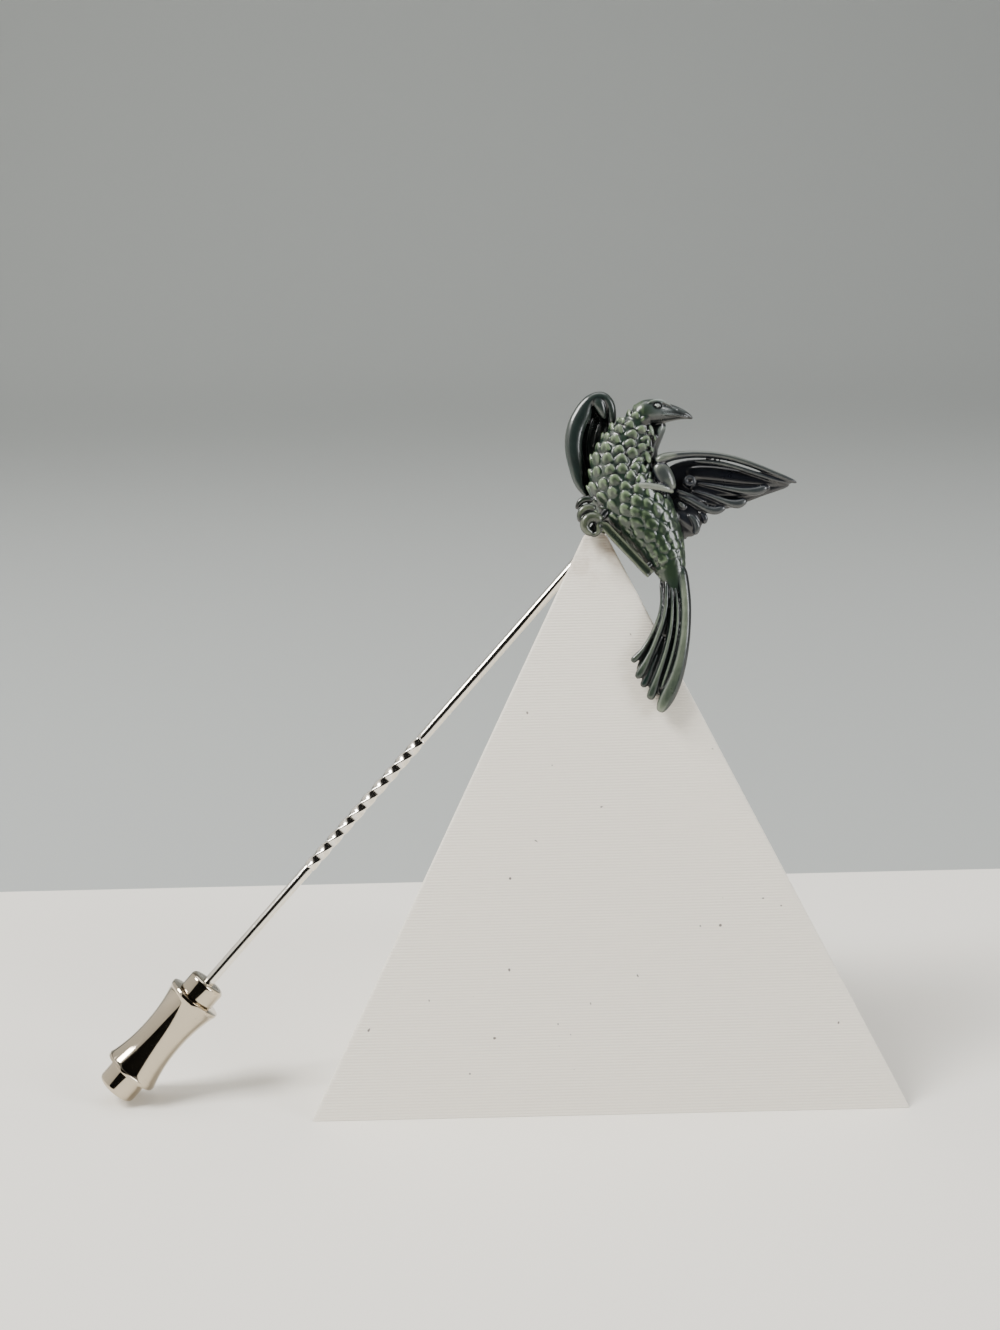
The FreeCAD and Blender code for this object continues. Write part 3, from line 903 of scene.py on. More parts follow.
    def tone(self, place: Vector, normal: Vector, free: float) -> float:
        """Relief of the body: the head is greyer and smooth, the throat is dark, and the eye bead is painted
        pale as a glint inside a dark ring.
        """
        level = free
        throat = smooth(3.9, 4.6, place.x + 0.25 * (place.y - 4.5))
        throat = throat * smooth(2.2, 3.2, place.y) * (1.0 - smooth(6.3, 6.9, place.y))
        level *= 1.0 - 0.85 * throat * (1.0 - smooth(0.62, 0.85, free))
        level *= blend(0.78, 1.0, smooth(-6.4, -5.0, place.y))
        # The eye bead gets full relief, a painted highlight that stands for the eye's glint, and a dark ring
        # around it.
        from_eye = math.hypot(place.x - self.eye[0], 1.3 * (place.y - self.eye[1]))
        if place.z > 0.25 and from_eye < 0.36:
            return 1.0 if from_eye < 0.15 else 0.08
        if place.x > 3.9 and place.y > 6.2:
            beak = blend(0.84, 0.60, smooth(5.4, 6.4, place.x))
            level *= beak * blend(0.35, 1.0, smooth(6.45, 7.15, place.y - 0.12 * (place.x - 5.0)))
        return level


@dataclass
class FarWing:
    """Folded far wing behind the neck: a dished leaf with a thick rolled rim."""

    rim: Rows = (
        (-0.30, 0.95, -1.45, 0.12, 0.25),
        (-0.98, 2.05, -1.40, 0.36, 0.38),
        (-1.22, 3.40, -1.38, 0.58, 0.46),
        (-1.40, 5.00, -1.36, 0.68, 0.48),
        (-1.15, 6.50, -1.36, 0.70, 0.48),
        (-0.62, 7.58, -1.36, 0.68, 0.48),
        (-0.05, 8.52, -1.34, 0.48, 0.48),
        (0.85, 8.72, -1.34, 0.50, 0.48),
        (1.42, 8.20, -1.36, 0.42, 0.44),
        (1.58, 7.45, -1.40, 0.34, 0.40),
        (1.62, 6.60, -1.50, 0.30, 0.36),
    )
    fold: Rows = (
        (0.35, 8.75, -1.20, 0.42, 0.34),
        (0.62, 8.20, -1.16, 0.46, 0.36),
        (0.85, 7.60, -1.22, 0.32, 0.32),
        (1.02, 7.05, -1.34, 0.12, 0.20),
    )
    floor: Rows = (
        (0.70, 8.60, -1.90, 0.60, 0.22),
        (0.10, 7.30, -1.95, 1.35, 0.25),
        (-0.10, 5.60, -1.98, 1.55, 0.28),
        (-0.05, 3.80, -1.98, 1.45, 0.28),
        (0.05, 2.30, -1.95, 1.10, 0.26),
        (0.15, 1.10, -1.85, 0.50, 0.22),
    )
    quills: tuple[Rows, ...] = (
        (
            (-0.2, 8.0, -1.66, 0.1, 0.1), (-0.8, 6.4, -1.68, 0.14, 0.12),
            (-0.9, 4.6, -1.68, 0.12, 0.12), (-0.5, 2.8, -1.66, 0.06, 0.08),
        ),
        (
            (0.25, 7.6, -1.66, 0.1, 0.1), (-0.25, 6.2, -1.66, 0.14, 0.12),
            (-0.45, 4.6, -1.66, 0.12, 0.12), (-0.2, 2.8, -1.66, 0.06, 0.08),
        ),
        ((0.7, 7.0, -1.66, 0.08, 0.1), (0.4, 6.0, -1.62, 0.16, 0.14), (0.1, 5.0, -1.66, 0.08, 0.1)),
    )
    grain: float = 0.06

    def build(self) -> Piece:
        """Cast the rim, the fold, the floor and the quills in it."""
        forms = Shaper.forms("far", (self.rim, self.fold, self.floor))
        forms += Shaper.forms("quill", self.quills, 10, 1)
        return Shaper.cast(Shaper.joined("far_wing", forms), self.grain, 2)

    def tone(self, place: Vector, normal: Vector, free: float) -> float:
        """Relief of the far wing: pale rim, dark dish."""
        return free * blend(0.18, 0.62, smooth(-1.60, -1.10, place.z))


@dataclass
class SpreadWing:
    """Wing spread to the right: rolled leading edge, arm, long feathers and fan."""

    edge: Rows = (
        (4.62, 3.22, 0.20, 0.40, 0.52),
        (5.20, 3.62, 0.22, 0.42, 0.56),
        (6.20, 3.84, 0.20, 0.32, 0.50),
        (7.90, 3.92, 0.14, 0.26, 0.42),
        (9.60, 3.74, 0.08, 0.25, 0.40),
        (11.30, 3.28, 0.00, 0.24, 0.36),
        (13.05, 2.58, -0.06, 0.22, 0.34),
        (14.40, 1.98, -0.10, 0.20, 0.28),
        (15.25, 1.62, -0.12, 0.12, 0.18),
    )
    second: Rows = (
        (7.50, 3.42, 0.02, 0.10, 0.14),
        (8.60, 3.36, 0.04, 0.17, 0.22),
        (10.20, 3.04, 0.00, 0.17, 0.22),
        (12.00, 2.44, -0.08, 0.18, 0.22),
        (13.60, 1.92, -0.12, 0.20, 0.22),
        (14.90, 1.62, -0.14, 0.14, 0.16),
    )
    arm: Rows = (
        (4.68, 3.25, 0.20, 0.50, 0.50),
        (5.00, 2.75, 0.28, 0.68, 0.56),
        (5.30, 2.15, 0.32, 0.70, 0.56),
        (5.55, 1.62, 0.30, 0.60, 0.52),
        (5.80, 1.16, 0.18, 0.42, 0.42),
    )
    shelf: Rows = (
        (2.70, 1.42, 1.10, 0.10, 0.20),
        (3.50, 1.46, 0.98, 0.30, 0.36),
        (4.40, 1.40, 0.70, 0.32, 0.42),
        (5.30, 1.30, 0.40, 0.32, 0.44),
        (5.95, 1.05, 0.20, 0.10, 0.24),
    )
    plate: Rows = (
        (5.00, 2.00, -0.62, 1.10, 0.30),
        (7.00, 1.75, -0.66, 1.95, 0.26),
        (9.00, 1.60, -0.66, 1.95, 0.26),
        (11.00, 1.60, -0.60, 1.45, 0.24),
        (13.00, 1.60, -0.50, 0.75, 0.22),
        (14.80, 1.58, -0.34, 0.25, 0.18),
    )
    feathers: tuple[Rows, ...] = (
        (
            (7.6, 1.84, -0.22, 0.12, 0.14), (9.4, 1.44, -0.12, 0.19, 0.24),
            (11.0, 1.1, -0.06, 0.26, 0.28), (12.2, 1.08, -0.06, 0.34, 0.28),
            (13.05, 1.4, -0.12, 0.24, 0.2),
        ),
        (
            (7.2, 1.26, -0.2, 0.12, 0.14), (8.5, 0.84, -0.1, 0.19, 0.24),
            (9.7, 0.34, -0.04, 0.26, 0.28), (10.7, 0.12, -0.04, 0.36, 0.28),
            (11.45, 0.46, -0.1, 0.26, 0.2),
        ),
        (
            (6.15, 0.98, -0.06, 0.15, 0.18), (7.3, 0.4, 0.0, 0.22, 0.28),
            (8.3, -0.18, 0.0, 0.28, 0.3), (9.1, -0.34, -0.04, 0.32, 0.26),
            (9.85, -0.06, -0.1, 0.22, 0.18),
        ),
        (
            (6.05, 1.3, 0.02, 0.1, 0.14), (6.8, 0.98, 0.02, 0.16, 0.2), (7.6, 0.62, -0.02, 0.14, 0.2),
            (8.4, 0.3, -0.1, 0.08, 0.12),
        ),
    )
    webs: tuple[Rows, ...] = (
        (
            (6.8, 2.7, -0.45, 0.5, 0.2), (9.6, 2.4, -0.42, 0.55, 0.22), (12.4, 1.9, -0.36, 0.42, 0.2),
            (14.6, 1.62, -0.24, 0.16, 0.14),
        ),
        (
            (7.0, 1.55, -0.42, 0.4, 0.22), (9.6, 1.1, -0.36, 0.42, 0.22),
            (12.0, 1.14, -0.3, 0.3, 0.2), (13.2, 1.36, -0.2, 0.14, 0.14),
        ),
        (
            (6.8, 0.95, -0.36, 0.36, 0.22), (8.6, 0.42, -0.3, 0.4, 0.22),
            (10.4, 0.14, -0.24, 0.3, 0.2), (11.5, 0.34, -0.18, 0.14, 0.14),
        ),
    )
    fan: tuple[Rows, ...] = (
        ((6.2, 0.1, -0.42, 0.48, 0.34), (7.4, -0.6, -0.46, 0.56, 0.32), (8.35, -1.1, -0.48, 0.3, 0.22)),
        (
            (6.0, -0.3, -0.26, 0.48, 0.36), (7.1, -1.15, -0.26, 0.54, 0.34),
            (7.8, -1.95, -0.28, 0.24, 0.22),
        ),
        ((5.6, -0.6, -0.44, 0.6, 0.4), (6.35, -1.6, -0.5, 0.6, 0.36), (6.85, -2.4, -0.54, 0.24, 0.22)),
    )
    fan_plate: Rows = (
        (6.00, 0.90, -0.50, 0.90, 0.38),
        (6.55, 0.00, -0.46, 1.45, 0.42),
        (6.90, -0.80, -0.44, 1.40, 0.42),
        (7.00, -1.60, -0.44, 0.95, 0.34),
        (6.95, -2.25, -0.48, 0.40, 0.24),
    )
    fan_rims: tuple[Rows, ...] = (
        (
            (7.75, -0.35, -0.16, 0.14, 0.16), (8.22, -0.78, -0.14, 0.24, 0.22),
            (8.18, -1.35, -0.2, 0.2, 0.18),
        ),
        (
            (6.95, -0.55, 0.04, 0.14, 0.14), (7.45, -1.05, 0.06, 0.26, 0.22),
            (7.62, -1.7, 0.0, 0.26, 0.2), (7.4, -2.15, -0.08, 0.14, 0.14),
        ),
        (
            (5.95, -0.35, 0.06, 0.16, 0.16), (6.15, -0.75, 0.04, 0.14, 0.14),
            (6.2, -1.15, -0.02, 0.06, 0.08),
        ),
        ((6.2, 0.35, 0.02, 0.12, 0.14), (6.55, 0.1, 0.02, 0.22, 0.18), (6.8, -0.15, -0.04, 0.08, 0.1)),
    )
    # u, v, w, radius
    boss: Row = (7.18, 1.96, -0.05, 0.46)
    grain: float = 0.058

    def boss_forms(self) -> list[Piece]:
        """Round boss with a small hollow, between the arm and the feathers."""
        u, v, w, radius = self.boss
        across, along = radius * 0.62, radius * 0.58
        ring = [
            (u + across * math.cos(turn), v + along * math.sin(turn), w + 0.05, radius * 0.34, 0.16)
            for turn in (2.0 * math.pi * step / 16 for step in range(16))
        ]
        seat = (
            (u - radius, v, w - 0.3, radius * 0.5, 0.2),
            (u, v, w - 0.24, radius, 0.24),
            (u + radius, v, w - 0.3, radius * 0.5, 0.2),
        )
        return [Shaper.subdivided(Shaper.loft("boss", ring, 10, True)), *Shaper.forms("seat", [seat], 12)]

    def build(self) -> Piece:
        """Cast the wing."""
        large = [self.edge, self.second, self.arm, self.shelf, self.plate, self.fan_plate]
        forms = Shaper.forms("wing", [*large, *self.webs, *self.fan])
        forms += Shaper.forms("rim", self.feathers + self.fan_rims, 10)
        return Shaper.cast(Shaper.joined("spread_wing", forms + self.boss_forms()), self.grain, 1)

    def tone(self, place: Vector, normal: Vector, free: float) -> float:
        """Relief of the wing: pale edge, arm and feather rims, slate black between, and a painted highlight
        on faces turned upward along the upper edge.
        """
        raised = smooth(-0.20, 0.22, place.z)
        near_arm = 1.0 - smooth(5.6, 6.6, place.x)
        tip = smooth(11.5, 15.0, place.x)
        lit = max(raised * blend(0.62, 0.95, near_arm), 0.45 * tip)
        root = (1.0 - smooth(5.6, 7.8, place.x)) * smooth(0.5, 1.2, place.y)
        # Faces turned upward along the wing's upper edge are painted pale: a painted highlight from the light
        # above.
        top = smooth(0.25, 0.75, normal.y) * smooth(1.5, 2.4, place.y)
        lit = max(lit, 0.9 * root * smooth(-0.1, 0.4, place.z), 0.92 * top * smooth(-0.35, 0.1, place.z))
        if math.hypot(place.x - self.boss[0], place.y - self.boss[1]) < 0.62:
            lit = min(lit, 0.42)
        return free * blend(0.16, 1.0, lit)


@dataclass
class Tail:
    """Fan tail of ribbed feathers with deep grooves."""

    feathers: tuple[Rows, ...] = (
        (
            (6.28, -4.3, 0.3, 0.46, 0.5), (6.46, -6.2, 0.48, 0.44, 0.52),
            (6.5, -7.9, 0.62, 0.44, 0.5), (6.28, -10.2, 0.72, 0.46, 0.48),
            (5.72, -12.5, 0.76, 0.54, 0.44), (5.02, -14.1, 0.74, 0.58, 0.4),
            (4.5, -15.05, 0.72, 0.4, 0.32), (4.34, -15.36, 0.7, 0.16, 0.18),
        ),
        (
            (5.72, -5.6, 0.44, 0.12, 0.26), (5.92, -7.6, 0.66, 0.15, 0.32),
            (5.7, -10.0, 0.74, 0.16, 0.32), (5.06, -12.2, 0.76, 0.17, 0.32),
            (4.46, -13.7, 0.76, 0.14, 0.26),
        ),
        (
            (5.5, -5.5, 0.4, 0.14, 0.28), (5.52, -7.6, 0.62, 0.18, 0.32),
            (5.2, -10.0, 0.72, 0.2, 0.32), (4.4, -12.4, 0.74, 0.24, 0.3),
            (3.88, -13.8, 0.72, 0.34, 0.28), (3.62, -14.45, 0.7, 0.28, 0.2),
        ),
        (
            (5.14, -5.3, 0.38, 0.2, 0.34), (5.06, -7.4, 0.62, 0.22, 0.36),
            (4.56, -9.2, 0.72, 0.24, 0.34), (3.84, -10.9, 0.72, 0.24, 0.32),
            (3.18, -12.15, 0.7, 0.34, 0.28), (2.7, -12.85, 0.68, 0.26, 0.2),
        ),
        (
            (4.72, -5.6, 0.34, 0.13, 0.26), (4.76, -7.2, 0.56, 0.14, 0.3),
            (4.32, -8.8, 0.66, 0.15, 0.3), (3.42, -10.45, 0.66, 0.17, 0.28),
            (2.76, -11.25, 0.66, 0.26, 0.26), (2.38, -11.6, 0.64, 0.2, 0.18),
        ),
        (
            (4.4, -10.8, 0.6, 0.12, 0.22), (3.8, -12.1, 0.6, 0.16, 0.22),
            (3.4, -13.0, 0.6, 0.3, 0.22), (3.1, -13.5, 0.6, 0.22, 0.16),
        ),
    )
    bed: tuple[Rows, ...] = (
        (
            (5.55, -4.6, 0.05, 1.05, 0.42), (5.62, -6.6, 0.28, 0.86, 0.34),
            (5.45, -8.4, 0.42, 0.86, 0.3), (4.95, -10.0, 0.5, 1.06, 0.3),
        ),
        (
            (5.35, -9.6, 0.5, 0.8, 0.28), (4.9, -11.6, 0.54, 1.0, 0.26),
            (4.42, -13.2, 0.56, 0.9, 0.24), (4.15, -14.1, 0.58, 0.5, 0.2),
        ),
        (
            (4.6, -9.0, 0.46, 0.6, 0.28), (4.1, -10.5, 0.5, 0.6, 0.26),
            (3.45, -11.9, 0.52, 0.62, 0.24), (3.0, -12.6, 0.54, 0.4, 0.2),
        ),
    )
    grain: float = 0.055

    def build(self) -> Piece:
        """Cast the tail."""
        forms = Shaper.forms("tail", self.feathers + self.bed, 12)
        return Shaper.cast(Shaper.joined("tail", forms), self.grain, 1)

    def tone(self, place: Vector, normal: Vector, free: float) -> float:
        """Relief of the tail: the right feather is pale, grooves are dark, and faces turned to the right, the
        outer edge among them, get painted shade.
        """
        # Faces turned to the right, away from the key light, are painted darker: painted shade.
        right = smooth(0.2, 0.75, normal.x)
        line = self.feathers[0]
        middle = float(np.interp(-place.y, [-row[1] for row in line], [row[0] for row in line]))
        level = free * blend(1.22, 1.0, smooth(0.25, 0.50, abs(place.x - middle + 0.10)))
        return level * blend(0.86, 0.30, right) * blend(0.35, 1.0, smooth(0.60, 1.02, place.z))


@dataclass
class Perch:
    """Bar under the bird and the curled toes that grip it."""

    bar: Rows = (
        (-0.42, -2.02, 0.62, 0.14, 0.18),
        (-0.05, -2.02, 0.66, 0.22, 0.26),
        (0.22, -1.72, 0.70, 0.26, 0.30),
        (0.20, -1.30, 0.72, 0.30, 0.32),
        (0.52, -1.26, 0.70, 0.33, 0.34),
        (1.30, -2.16, 0.66, 0.33, 0.34),
        (2.50, -3.50, 0.64, 0.33, 0.34),
        (3.50, -4.62, 0.62, 0.33, 0.34),
        (3.86, -5.02, 0.62, 0.30, 0.32),
        (4.00, -5.18, 0.62, 0.16, 0.18),
    )
    # u, v, w, radius of the curl, half thickness, start and sweep in degrees
    toes: Rows = (
        (-0.20, -1.34, 0.68, 0.60, 0.44, 20.0, 250.0),
        (-0.44, -0.72, 0.58, 0.70, 0.33, 50.0, 160.0),
        (-0.56, -0.10, 0.46, 0.76, 0.27, 55.0, 125.0),
    )
    links: tuple[Rows, ...] = (
        ((-0.3, -1.3, 0.5, 0.3, 0.2), (-0.1, -1.45, 0.5, 0.5, 0.24), (0.2, -1.7, 0.5, 0.3, 0.2)),
        ((0.2, -1.0, 0.4, 0.28, 0.28), (0.7, -0.45, 0.25, 0.34, 0.3), (1.15, 0.0, 0.05, 0.3, 0.3)),
        ((3.62, -4.7, 0.42, 0.22, 0.24), (4.0, -4.35, 0.25, 0.26, 0.26), (4.35, -4.0, 0.1, 0.24, 0.24)),
    )
    grain: float = 0.055

    def toe(self, row: Row) -> Rows:
        """Ovals of one curled toe that tapers to its claw."""
        u, v, w, ring, thick, start, sweep = row
        rows = []
        for step in range(9):
            part = step / 8.0
            turn = math.radians(start + sweep * part)
            size = thick * (0.55 + 0.45 * math.sin(math.pi * min(1.0, 0.25 + 0.75 * part)))
            rise = 0.10 * math.sin(math.pi * part)
            rows.append((u + ring * math.cos(turn), v + ring * math.sin(turn), w + rise, size, size))
        return tuple(rows)

    def lip(self, side: float) -> Rows:
        """Ovals of the raised lip along one side of the bar."""
        straight = self.bar[4:]
        return tuple((u + side * 0.17, v + side * 0.15, w + 0.24, 0.11, 0.13) for u, v, w, *_ in straight)

    def build(self) -> Piece:
        """Cast the perch."""
        toes = [self.toe(row) for row in self.toes]
        lips = [self.lip(-1.0), self.lip(1.0)]
        forms = Shaper.forms("bar", [self.bar]) + Shaper.forms("toe", toes, 12)
        forms += Shaper.forms("link", self.links, 12) + Shaper.forms("lip", lips, 10)
        return Shaper.cast(Shaper.joined("perch", forms), self.grain, 1)

    def tone(self, place: Vector, normal: Vector, free: float) -> float:
        """Relief of the perch."""
        return free * 0.84 * blend(0.20, 1.0, smooth(0.62, 1.00, place.z))


@dataclass
class Stem:
    """Polished wire stem with its point and the twisted square stretch."""

    radius: float = 0.40
    tip: float = 1.45
    tip_radius: float = 0.08
    shoulder: float = 3.65
    twist_start: float = 22.0
    twist_end: float = 34.95
    end: float = 60.3
    turns: float = 2.5
    flat: float = 0.74
    steps: int = 110

    def wire(self) -> list[Piece]:
        """Round runs below and above the twisted stretch."""
        lower = (
            (self.tip, self.tip_radius * 0.5),
            (self.tip + 0.08, self.tip_radius),
            (self.shoulder - 0.2, self.radius - 0.03),
            (self.shoulder, self.radius),
            (self.shoulder + 0.3, self.radius),
            (self.twist_start - 0.25, self.radius),
            (self.twist_start + 0.15, self.radius * 0.92),
            (self.twist_start + 0.5, self.radius * 0.60),
        )
        upper = (
            (self.twist_end - 0.5, self.radius * 0.60),
            (self.twist_end - 0.15, self.radius * 0.92),
            (self.twist_end + 0.25, self.radius),
            (self.end - 0.3, self.radius),
            (self.end, self.radius * 0.9),
        )
        return [Shaper.turned("stem_lower", lower, 48), Shaper.turned("stem_upper", upper, 48)]

    def twisted(self) -> Piece:
        """Square wire with rounded corners, twisted about its own line."""
        Shaper.clear()
        bpy.ops.mesh.primitive_cube_add(size=1.0, location=(0, 0, 0))
        bar = Shaper.begun("twisted")
        length = self.twist_end - self.twist_start
        Shaper.resize((self.flat, self.flat, length))
        bpy.ops.transform.translate(value=(0, 0, 0.5 * (self.twist_start + self.twist_end)))
        Shaper.modified(bar, "BEVEL", width=0.15, segments=4, limit_method="ANGLE")
        bpy.ops.object.mode_set(mode="EDIT")
        for step in range(1, self.steps):
            bpy.ops.mesh.select_all(action="SELECT")
            height = self.twist_start + length * step / self.steps
            bpy.ops.mesh.bisect(plane_co=(0, 0, height), plane_no=(0, 0, 1))
        angle = 2.0 * math.pi * self.turns
        return Shaper.modified(bar, "SIMPLE_DEFORM", deform_method="TWIST", deform_axis="Z", angle=angle)

    def build(self) -> Piece:
        """The whole stem."""
        return Shaper.joined("stem", self.wire() + [self.twisted()])


@dataclass
class Clutch:
    """Clutch of the stem: core with two collars, and the spool-shaped sleeve."""

    length: float = 10.66
    lower_length: float = 1.77
    upper_length: float = 1.46
    lower_radius: float = 1.52
    upper_radius: float = 1.43
    flange_radius: float = 2.11
    flange_edge: float = 0.30
    waist_radius: float = 1.62
    core_radius: float = 1.20
    bore_radius: float = 0.46
    floor: float = 1.35
    clearance: float = 0.06
    travel: float = 0.80
    overlap: float = 0.10
    lower_round: float = 0.36
    upper_round: float = 0.32
    # depth below the top, radius
    mouth: Rows = ((0.0, 0.86), (0.05, 0.80), (0.05, 0.70), (0.005, 0.65), (0.0, 0.60), (0.01, 0.50))

    def core(self) -> Piece:
        """Collars with rounded edges, the ring at the mouth and the blind bore."""
        low, high, top = self.lower_radius, self.upper_radius, self.length
        lower, upper = self.lower_round, self.upper_round
        lower_top = self.lower_length + self.overlap
        upper_bottom = top - self.upper_length
        turns = [math.pi * 0.5 * step / 6.0 for step in range(7)]
        waves = [(math.sin(turn), math.cos(turn)) for turn in turns]
        rows = [(0.0, 0.02), (0.0, low - 0.42)]
        rows += [(lower - lower * cosine, low - lower + lower * sine) for sine, cosine in waves]
        rows += [(lower_top - 0.04, low), (lower_top, low - 0.04), (lower_top, self.core_radius)]
        rows += [(upper_bottom, self.core_radius), (upper_bottom, high - 0.05), (upper_bottom + 0.05, high)]
        rows += [(top - upper + upper * sine, high - upper + upper * cosine) for sine, cosine in waves]
        rows += [(top - depth, radius) for depth, radius in self.mouth]
        rows += [(top - 0.08, self.bore_radius), (self.floor, self.bore_radius), (self.floor, 0.02)]
        return Shaper.turned("clutch_core_skin", rows, 72)

    def sleeve(self) -> Piece:
        """Spool with a flange at each end and a drawn-in waist."""
        bore = self.core_radius + self.clearance
        recess = self.lower_radius + self.clearance
        bottom = self.lower_length
        top = self.length - self.upper_length - self.clearance
        recess_floor = bottom + self.overlap + self.travel + self.clearance
        flange, edge = self.flange_radius, self.flange_edge
        middle, half = 0.5 * (bottom + top), 0.5 * (top - bottom)
        rows = [(bottom, recess), (bottom, flange - 0.07), (bottom + 0.02, flange - 0.02)]
        rows += [(bottom + 0.07, flange), (bottom + edge - 0.04, flange)]
        steps = 24
        for step in range(steps + 1):
            height = blend(bottom + edge, top - edge, step / steps)
            share = abs((height - middle) / (half - edge))
            rows.append((height, self.waist_radius + (flange - 0.03 - self.waist_radius) * share**2.1))
        rows += [(top - edge + 0.04, flange), (top - 0.07, flange)]
        rows += [(top - 0.02, flange - 0.02), (top, flange - 0.07)]
        rows += [(top, bore), (recess_floor, bore), (recess_floor, recess)]
        return Shaper.turned("clutch_sleeve_skin", rows, 72, True)


@dataclass
class Stand:
    """Plain printed three-sided pyramid with softened corners and a blunt tip."""

    tip_height: float = 41.05
    corner: float = 0.34
    table_zone: float = 1.0

    def build(self) -> Piece:
        """Three-sided cone, bevelled along its slanted edges and tip."""
        Shaper.clear()
        share = 1.0 - self.tip_height / BENCH.sharp_height
        radius = BENCH.side / math.sqrt(3.0)
        middle = (0, 0, self.tip_height / 2.0)
        bpy.ops.mesh.primitive_cone_add(
            vertices=3, radius1=radius, radius2=radius * share, depth=self.tip_height, location=middle
        )
        stand = Shaper.begun("stand_skin")
        bpy.ops.mesh.select_mode(type="EDGE")
        mesh = bmesh.from_edit_mesh(stand.data)
        for edge in mesh.edges:
            edge.select = max(vertex.co.z for vertex in edge.verts) > self.table_zone
        bmesh.update_edit_mesh(stand.data)
        bpy.ops.mesh.bevel(offset=self.corner, offset_type="OFFSET", segments=4)
        bpy.ops.object.mode_set(mode="OBJECT")
        return stand


@dataclass(frozen=True)
class Card:
    """Flat card of the studio: turn in degrees from facing up, and extents after the turn."""

    name: str
    turn: Row
    size: Row
    place: Row
    finish: StageFinish


@dataclass(frozen=True)
class Lamp:
    """Rectangular soft light aimed at a point; places and sizes in metres, power in watts."""

    name: str
    place: Row
    aim: Row
    size: Row
    power: float
    colour: Row = (1.0, 1.0, 1.0)


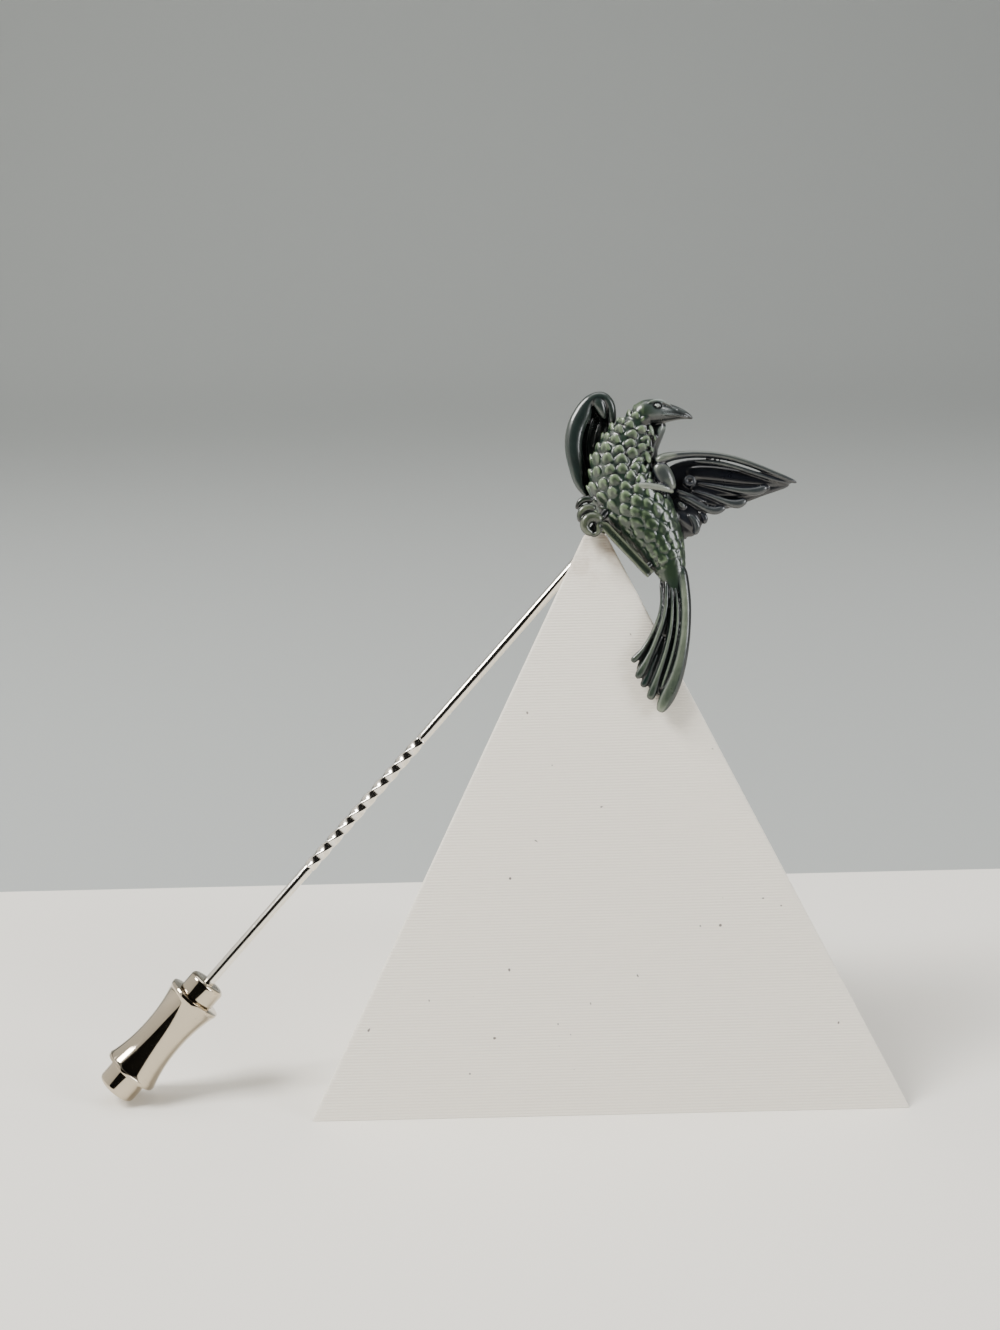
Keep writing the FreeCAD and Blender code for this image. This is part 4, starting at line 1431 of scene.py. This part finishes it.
@dataclass
class Studio:
    """Floor, backdrop, cards, light and camera."""

    camera_place: Row = (-7.345, -133.962, 60.709)
    pitch_down: float = 12.5
    roll: float = -1.332
    lens: float = 48.72
    floor_size: Row = (3.0, 1.6, 1.0)
    floor_end: float = 0.040
    floor_thickness: float = 0.002
    floor_drop: float = 0.00002
    floor_round: float = 0.0009
    backdrop_size: Row = (1.6, 1.6, 1.0)
    backdrop_place: Row = (0.0, -0.25, -0.012)
    backdrop_rise: Rows = ((0.0, 0.14, 0.02), (0.0, 0.14, 0.12), (0.0, 0.04, 0.36))
    sky: Row = (0.25, 0.25, 0.245, 1.0)
    floor_finish: StageFinish = StageFinish("pale_floor", (0.92, 0.89, 0.82))
    backdrop_finish: StageFinish = StageFinish("grey_backdrop", (0.40, 0.42, 0.41))
    cards: tuple[Card, ...] = (
        # Black sheet behind the camera, where the room is only in shade; the polished metal reflects it as a
        # dark band.
        Card(
            "dark_card", (90.0, 0.0, 0.0), (1.10, 1.0, 1.30), (-0.08, -0.60, 0.64),
            StageFinish("black_card", (0.004, 0.004, 0.004), 0.95),
        ),
        # Glowing sheet at the left that stands in for a soft light; it is no lamp, and the metal shows it as
        # a bright reflection.
        Card(
            "glowing_light_card", (0.0, 90.0, 0.0), (1.0, 1.55, 1.30), (-0.66, 0.10, 0.66),
            StageFinish("glowing_light_card", (0.80, 0.77, 0.72), 0.9, glow=0.60),
        ),
    )
    lamps: tuple[Lamp, ...] = (
        Lamp("key", (-0.34, -0.08, 0.45), (0.0, 0.0, 0.025), (0.20, 0.20), 4.1, (1.0, 0.985, 0.96)),
        Lamp("wall", (0.0, 0.20, 0.50), (0.0, 0.62, 0.16), (0.9, 0.2), 1.0),
        Lamp("top", (0.05, 0.10, 0.55), (0.0, 0.0, 0.025), (0.45, 0.35), 1.0),
        Lamp("side", (0.42, -0.22, 0.22), (0.0, 0.0, 0.025), (0.16, 0.30), 1.7, (0.97, 0.98, 1.0)),
    )

    def sheet(self, name: str, size: Row, place: Row, turn: Row = (0.0, 0.0, 0.0)) -> Piece:
        """Flat sheet, left in edit mode with all of it selected.

        Args:
            name: name of the new object.
            size: extent along x, y and z after the turn.
            place: middle of the sheet.
            turn: rotation in degrees of a plane that first faces up.
        Returns:
            The new object.
        """
        Shaper.clear()
        rotation = [math.radians(part) for part in turn]
        bpy.ops.mesh.primitive_plane_add(size=1.0, location=(0, 0, 0), rotation=rotation)
        sheet = Shaper.begun(name)
        Shaper.resize(size)
        bpy.ops.transform.translate(value=place)
        return sheet

    def staged(self, sheet: Piece, finish: StageFinish) -> None:
        """Dress a sheet and mark it as part of the stage."""
        sheet.data.materials.append(finish.made())
        sheet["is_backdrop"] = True

    def ground(self) -> None:
        """Pale floor that ends behind the object, and a grey backdrop that rises further back."""
        middle = (0.0, self.floor_end - 0.5 * self.floor_size[1], -self.floor_drop)
        floor = self.sheet("floor", self.floor_size, middle)
        down = {"value": (0, 0, -self.floor_thickness)}
        bpy.ops.mesh.extrude_region_move(TRANSFORM_OT_translate=down)
        Shaper.modified(floor, "BEVEL", width=self.floor_round, segments=4)
        backdrop = self.sheet("backdrop", self.backdrop_size, self.backdrop_place)
        Shaper.pick(lambda vertex: vertex.co.y > self.floor_end)
        for shift in self.backdrop_rise:
            bpy.ops.mesh.extrude_region_move(TRANSFORM_OT_translate={"value": shift})
        Shaper.subdivided(backdrop, 3)
        for sheet, finish in ((floor, self.floor_finish), (backdrop, self.backdrop_finish)):
            Shaper.choose(sheet)
            bpy.ops.object.shade_smooth_by_angle(angle=math.radians(40.0))
            self.staged(sheet, finish)

    def camera(self) -> None:
        """Camera at the photograph's angle."""
        data = bpy.data.cameras.new("camera")
        data.lens = self.lens
        data.sensor_width = 36.0
        data.sensor_fit = "AUTO"
        data.clip_start = 0.01
        data.clip_end = 10.0
        camera = bpy.data.objects.new("camera", data)
        bpy.context.scene.collection.objects.link(camera)
        camera.location = Vector(self.camera_place) * MM
        level = Euler((math.radians(90.0 - self.pitch_down), 0.0, 0.0)).to_matrix()
        camera.rotation_euler = (level @ Matrix.Rotation(math.radians(self.roll), 3, "Z")).to_euler()
        bpy.context.scene.camera = camera

    def light(self) -> None:
        """Soft lights on the object and the backdrop, and an even sky."""
        for row in self.lamps:
            data = bpy.data.lights.new(row.name, "AREA")
            data.shape = "RECTANGLE"
            data.size, data.size_y = row.size
            data.energy = row.power
            data.color = row.colour
            lamp = bpy.data.objects.new(row.name, data)
            bpy.context.scene.collection.objects.link(lamp)
            lamp.location = row.place
            lamp.rotation_euler = (Vector(row.place) - Vector(row.aim)).to_track_quat("Z", "Y").to_euler()
        world = bpy.data.worlds.new("room")
        bpy.context.scene.world = world
        world.use_nodes = True
        nodes, links = world.node_tree.nodes, world.node_tree.links
        nodes.clear()
        glow = nodes.new("ShaderNodeBackground")
        glow.inputs["Color"].default_value = self.sky
        output = nodes.new("ShaderNodeOutputWorld")
        links.new(glow.outputs["Background"], output.inputs["Surface"])

    def build(self) -> None:
        """Set up the whole stage."""
        self.ground()
        for card in self.cards:
            sheet = self.sheet(card.name, card.size, card.place, card.turn)
            Shaper.clear()
            self.staged(sheet, card.finish)
        self.light()
        self.camera()


def settle(piece: Piece, finish: bpy.types.Material, body: Body, slot: Slot, nodes: Iterable[str]) -> None:
    """Dress a finished piece and tie it to the frame.

    Args:
        piece: object in the row frame.
        finish: its material.
        body: rigid body it moves with.
        slot: record slot of its finish; not used.
        nodes: CAD nodes it stands for.
    """
    piece.data.materials.clear()
    piece.data.materials.append(finish)
    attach(piece, body.value)
    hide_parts(*nodes)
    LOG.info("%s: %d faces", piece.name, len(piece.data.polygons))


@dataclass(frozen=True)
class Enamels:
    """Enamel of each cast piece; a colour that isn't given is the body's."""

    body: EnamelFinish = EnamelFinish("sage_enamel", slate_head=True)
    far_wing: EnamelFinish = EnamelFinish(
        "grey_enamel", crest=(0.181, 0.206, 0.176), middle=(0.036, 0.05, 0.04), shade=(0.014, 0.024, 0.022)
    )
    spread_wing: EnamelFinish = EnamelFinish(
        "slate_enamel",
        crest=(0.206, 0.23, 0.187),
        middle=(0.037, 0.044, 0.044),
        shade=(0.014, 0.017, 0.023),
        pit=(0.004, 0.005, 0.008),
    )
    tail: EnamelFinish = EnamelFinish(
        "teal_enamel", crest=(0.151, 0.181, 0.133), middle=(0.017, 0.03, 0.021), shade=(0.006, 0.017, 0.014)
    )
    perch: EnamelFinish = EnamelFinish(
        "olive_enamel", crest=(0.163, 0.187, 0.127), middle=(0.034, 0.044, 0.028), shade=(0.012, 0.020, 0.013)
    )


def cast_bird() -> None:
    """Build the five pieces of the casting, which shade each other, and dress them."""
    enamels = Enamels()
    forms = (BirdBody(), FarWing(), SpreadWing(), Tail(), Perch())
    finishes = (enamels.body, enamels.far_wing, enamels.spread_wing, enamels.tail, enamels.perch)
    pieces = [form.build() for form in forms]
    relief = Relief(pieces)
    for piece, form, finish in zip(pieces, forms, finishes):
        relief.store(piece, form.tone)
        Shaper.set_down(piece, BENCH.face())
        settle(piece, finish.made(), Body.PIN, Slot.ENAMEL, ["bird_pin"])


def main() -> None:
    """Build every piece in order."""
    logging.basicConfig(level=logging.INFO, format="%(message)s")
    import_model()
    solid_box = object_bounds()
    cast_bird()

    steel = PolishedFinish("stem_steel", colour=(0.82, 0.79, 0.73), roughness=0.10).made()
    # The clutch's nickel is tinted warmer and browner than bare nickel: partly the metal's own warmth, partly
    # a painted reflection of the warm floor.
    nickel = PolishedFinish("clutch_nickel", colour=(0.56, 0.49, 0.385), roughness=0.05, wear=0.06).made()
    stem = Shaper.set_down(Stem().build(), BENCH.stem(), 40.0)
    settle(stem, steel, Body.PIN, Slot.METAL, ["bird_pin"])
    clutch = Clutch()
    core = Shaper.set_down(clutch.core(), BENCH.stem(), 35.0)
    settle(core, nickel, Body.CLUTCH, Slot.METAL, ["clutch_core"])
    sleeve = Shaper.set_down(clutch.sleeve(), BENCH.stem(), 35.0)
    settle(sleeve, nickel, Body.SLEEVE, Slot.METAL, ["clutch_sleeve"])

    stand = Shaper.set_down(Stand().build(), BENCH.plain(), 30.0)
    settle(stand, PrintedFinish("printed_plastic").made(), Body.PIN, Slot.PLASTIC, ["display_stand"])
    Studio().build()
    boxes = [[[float(part) for part in corner] for corner in box] for box in (solid_box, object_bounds())]


if __name__ == "__main__":
    main()
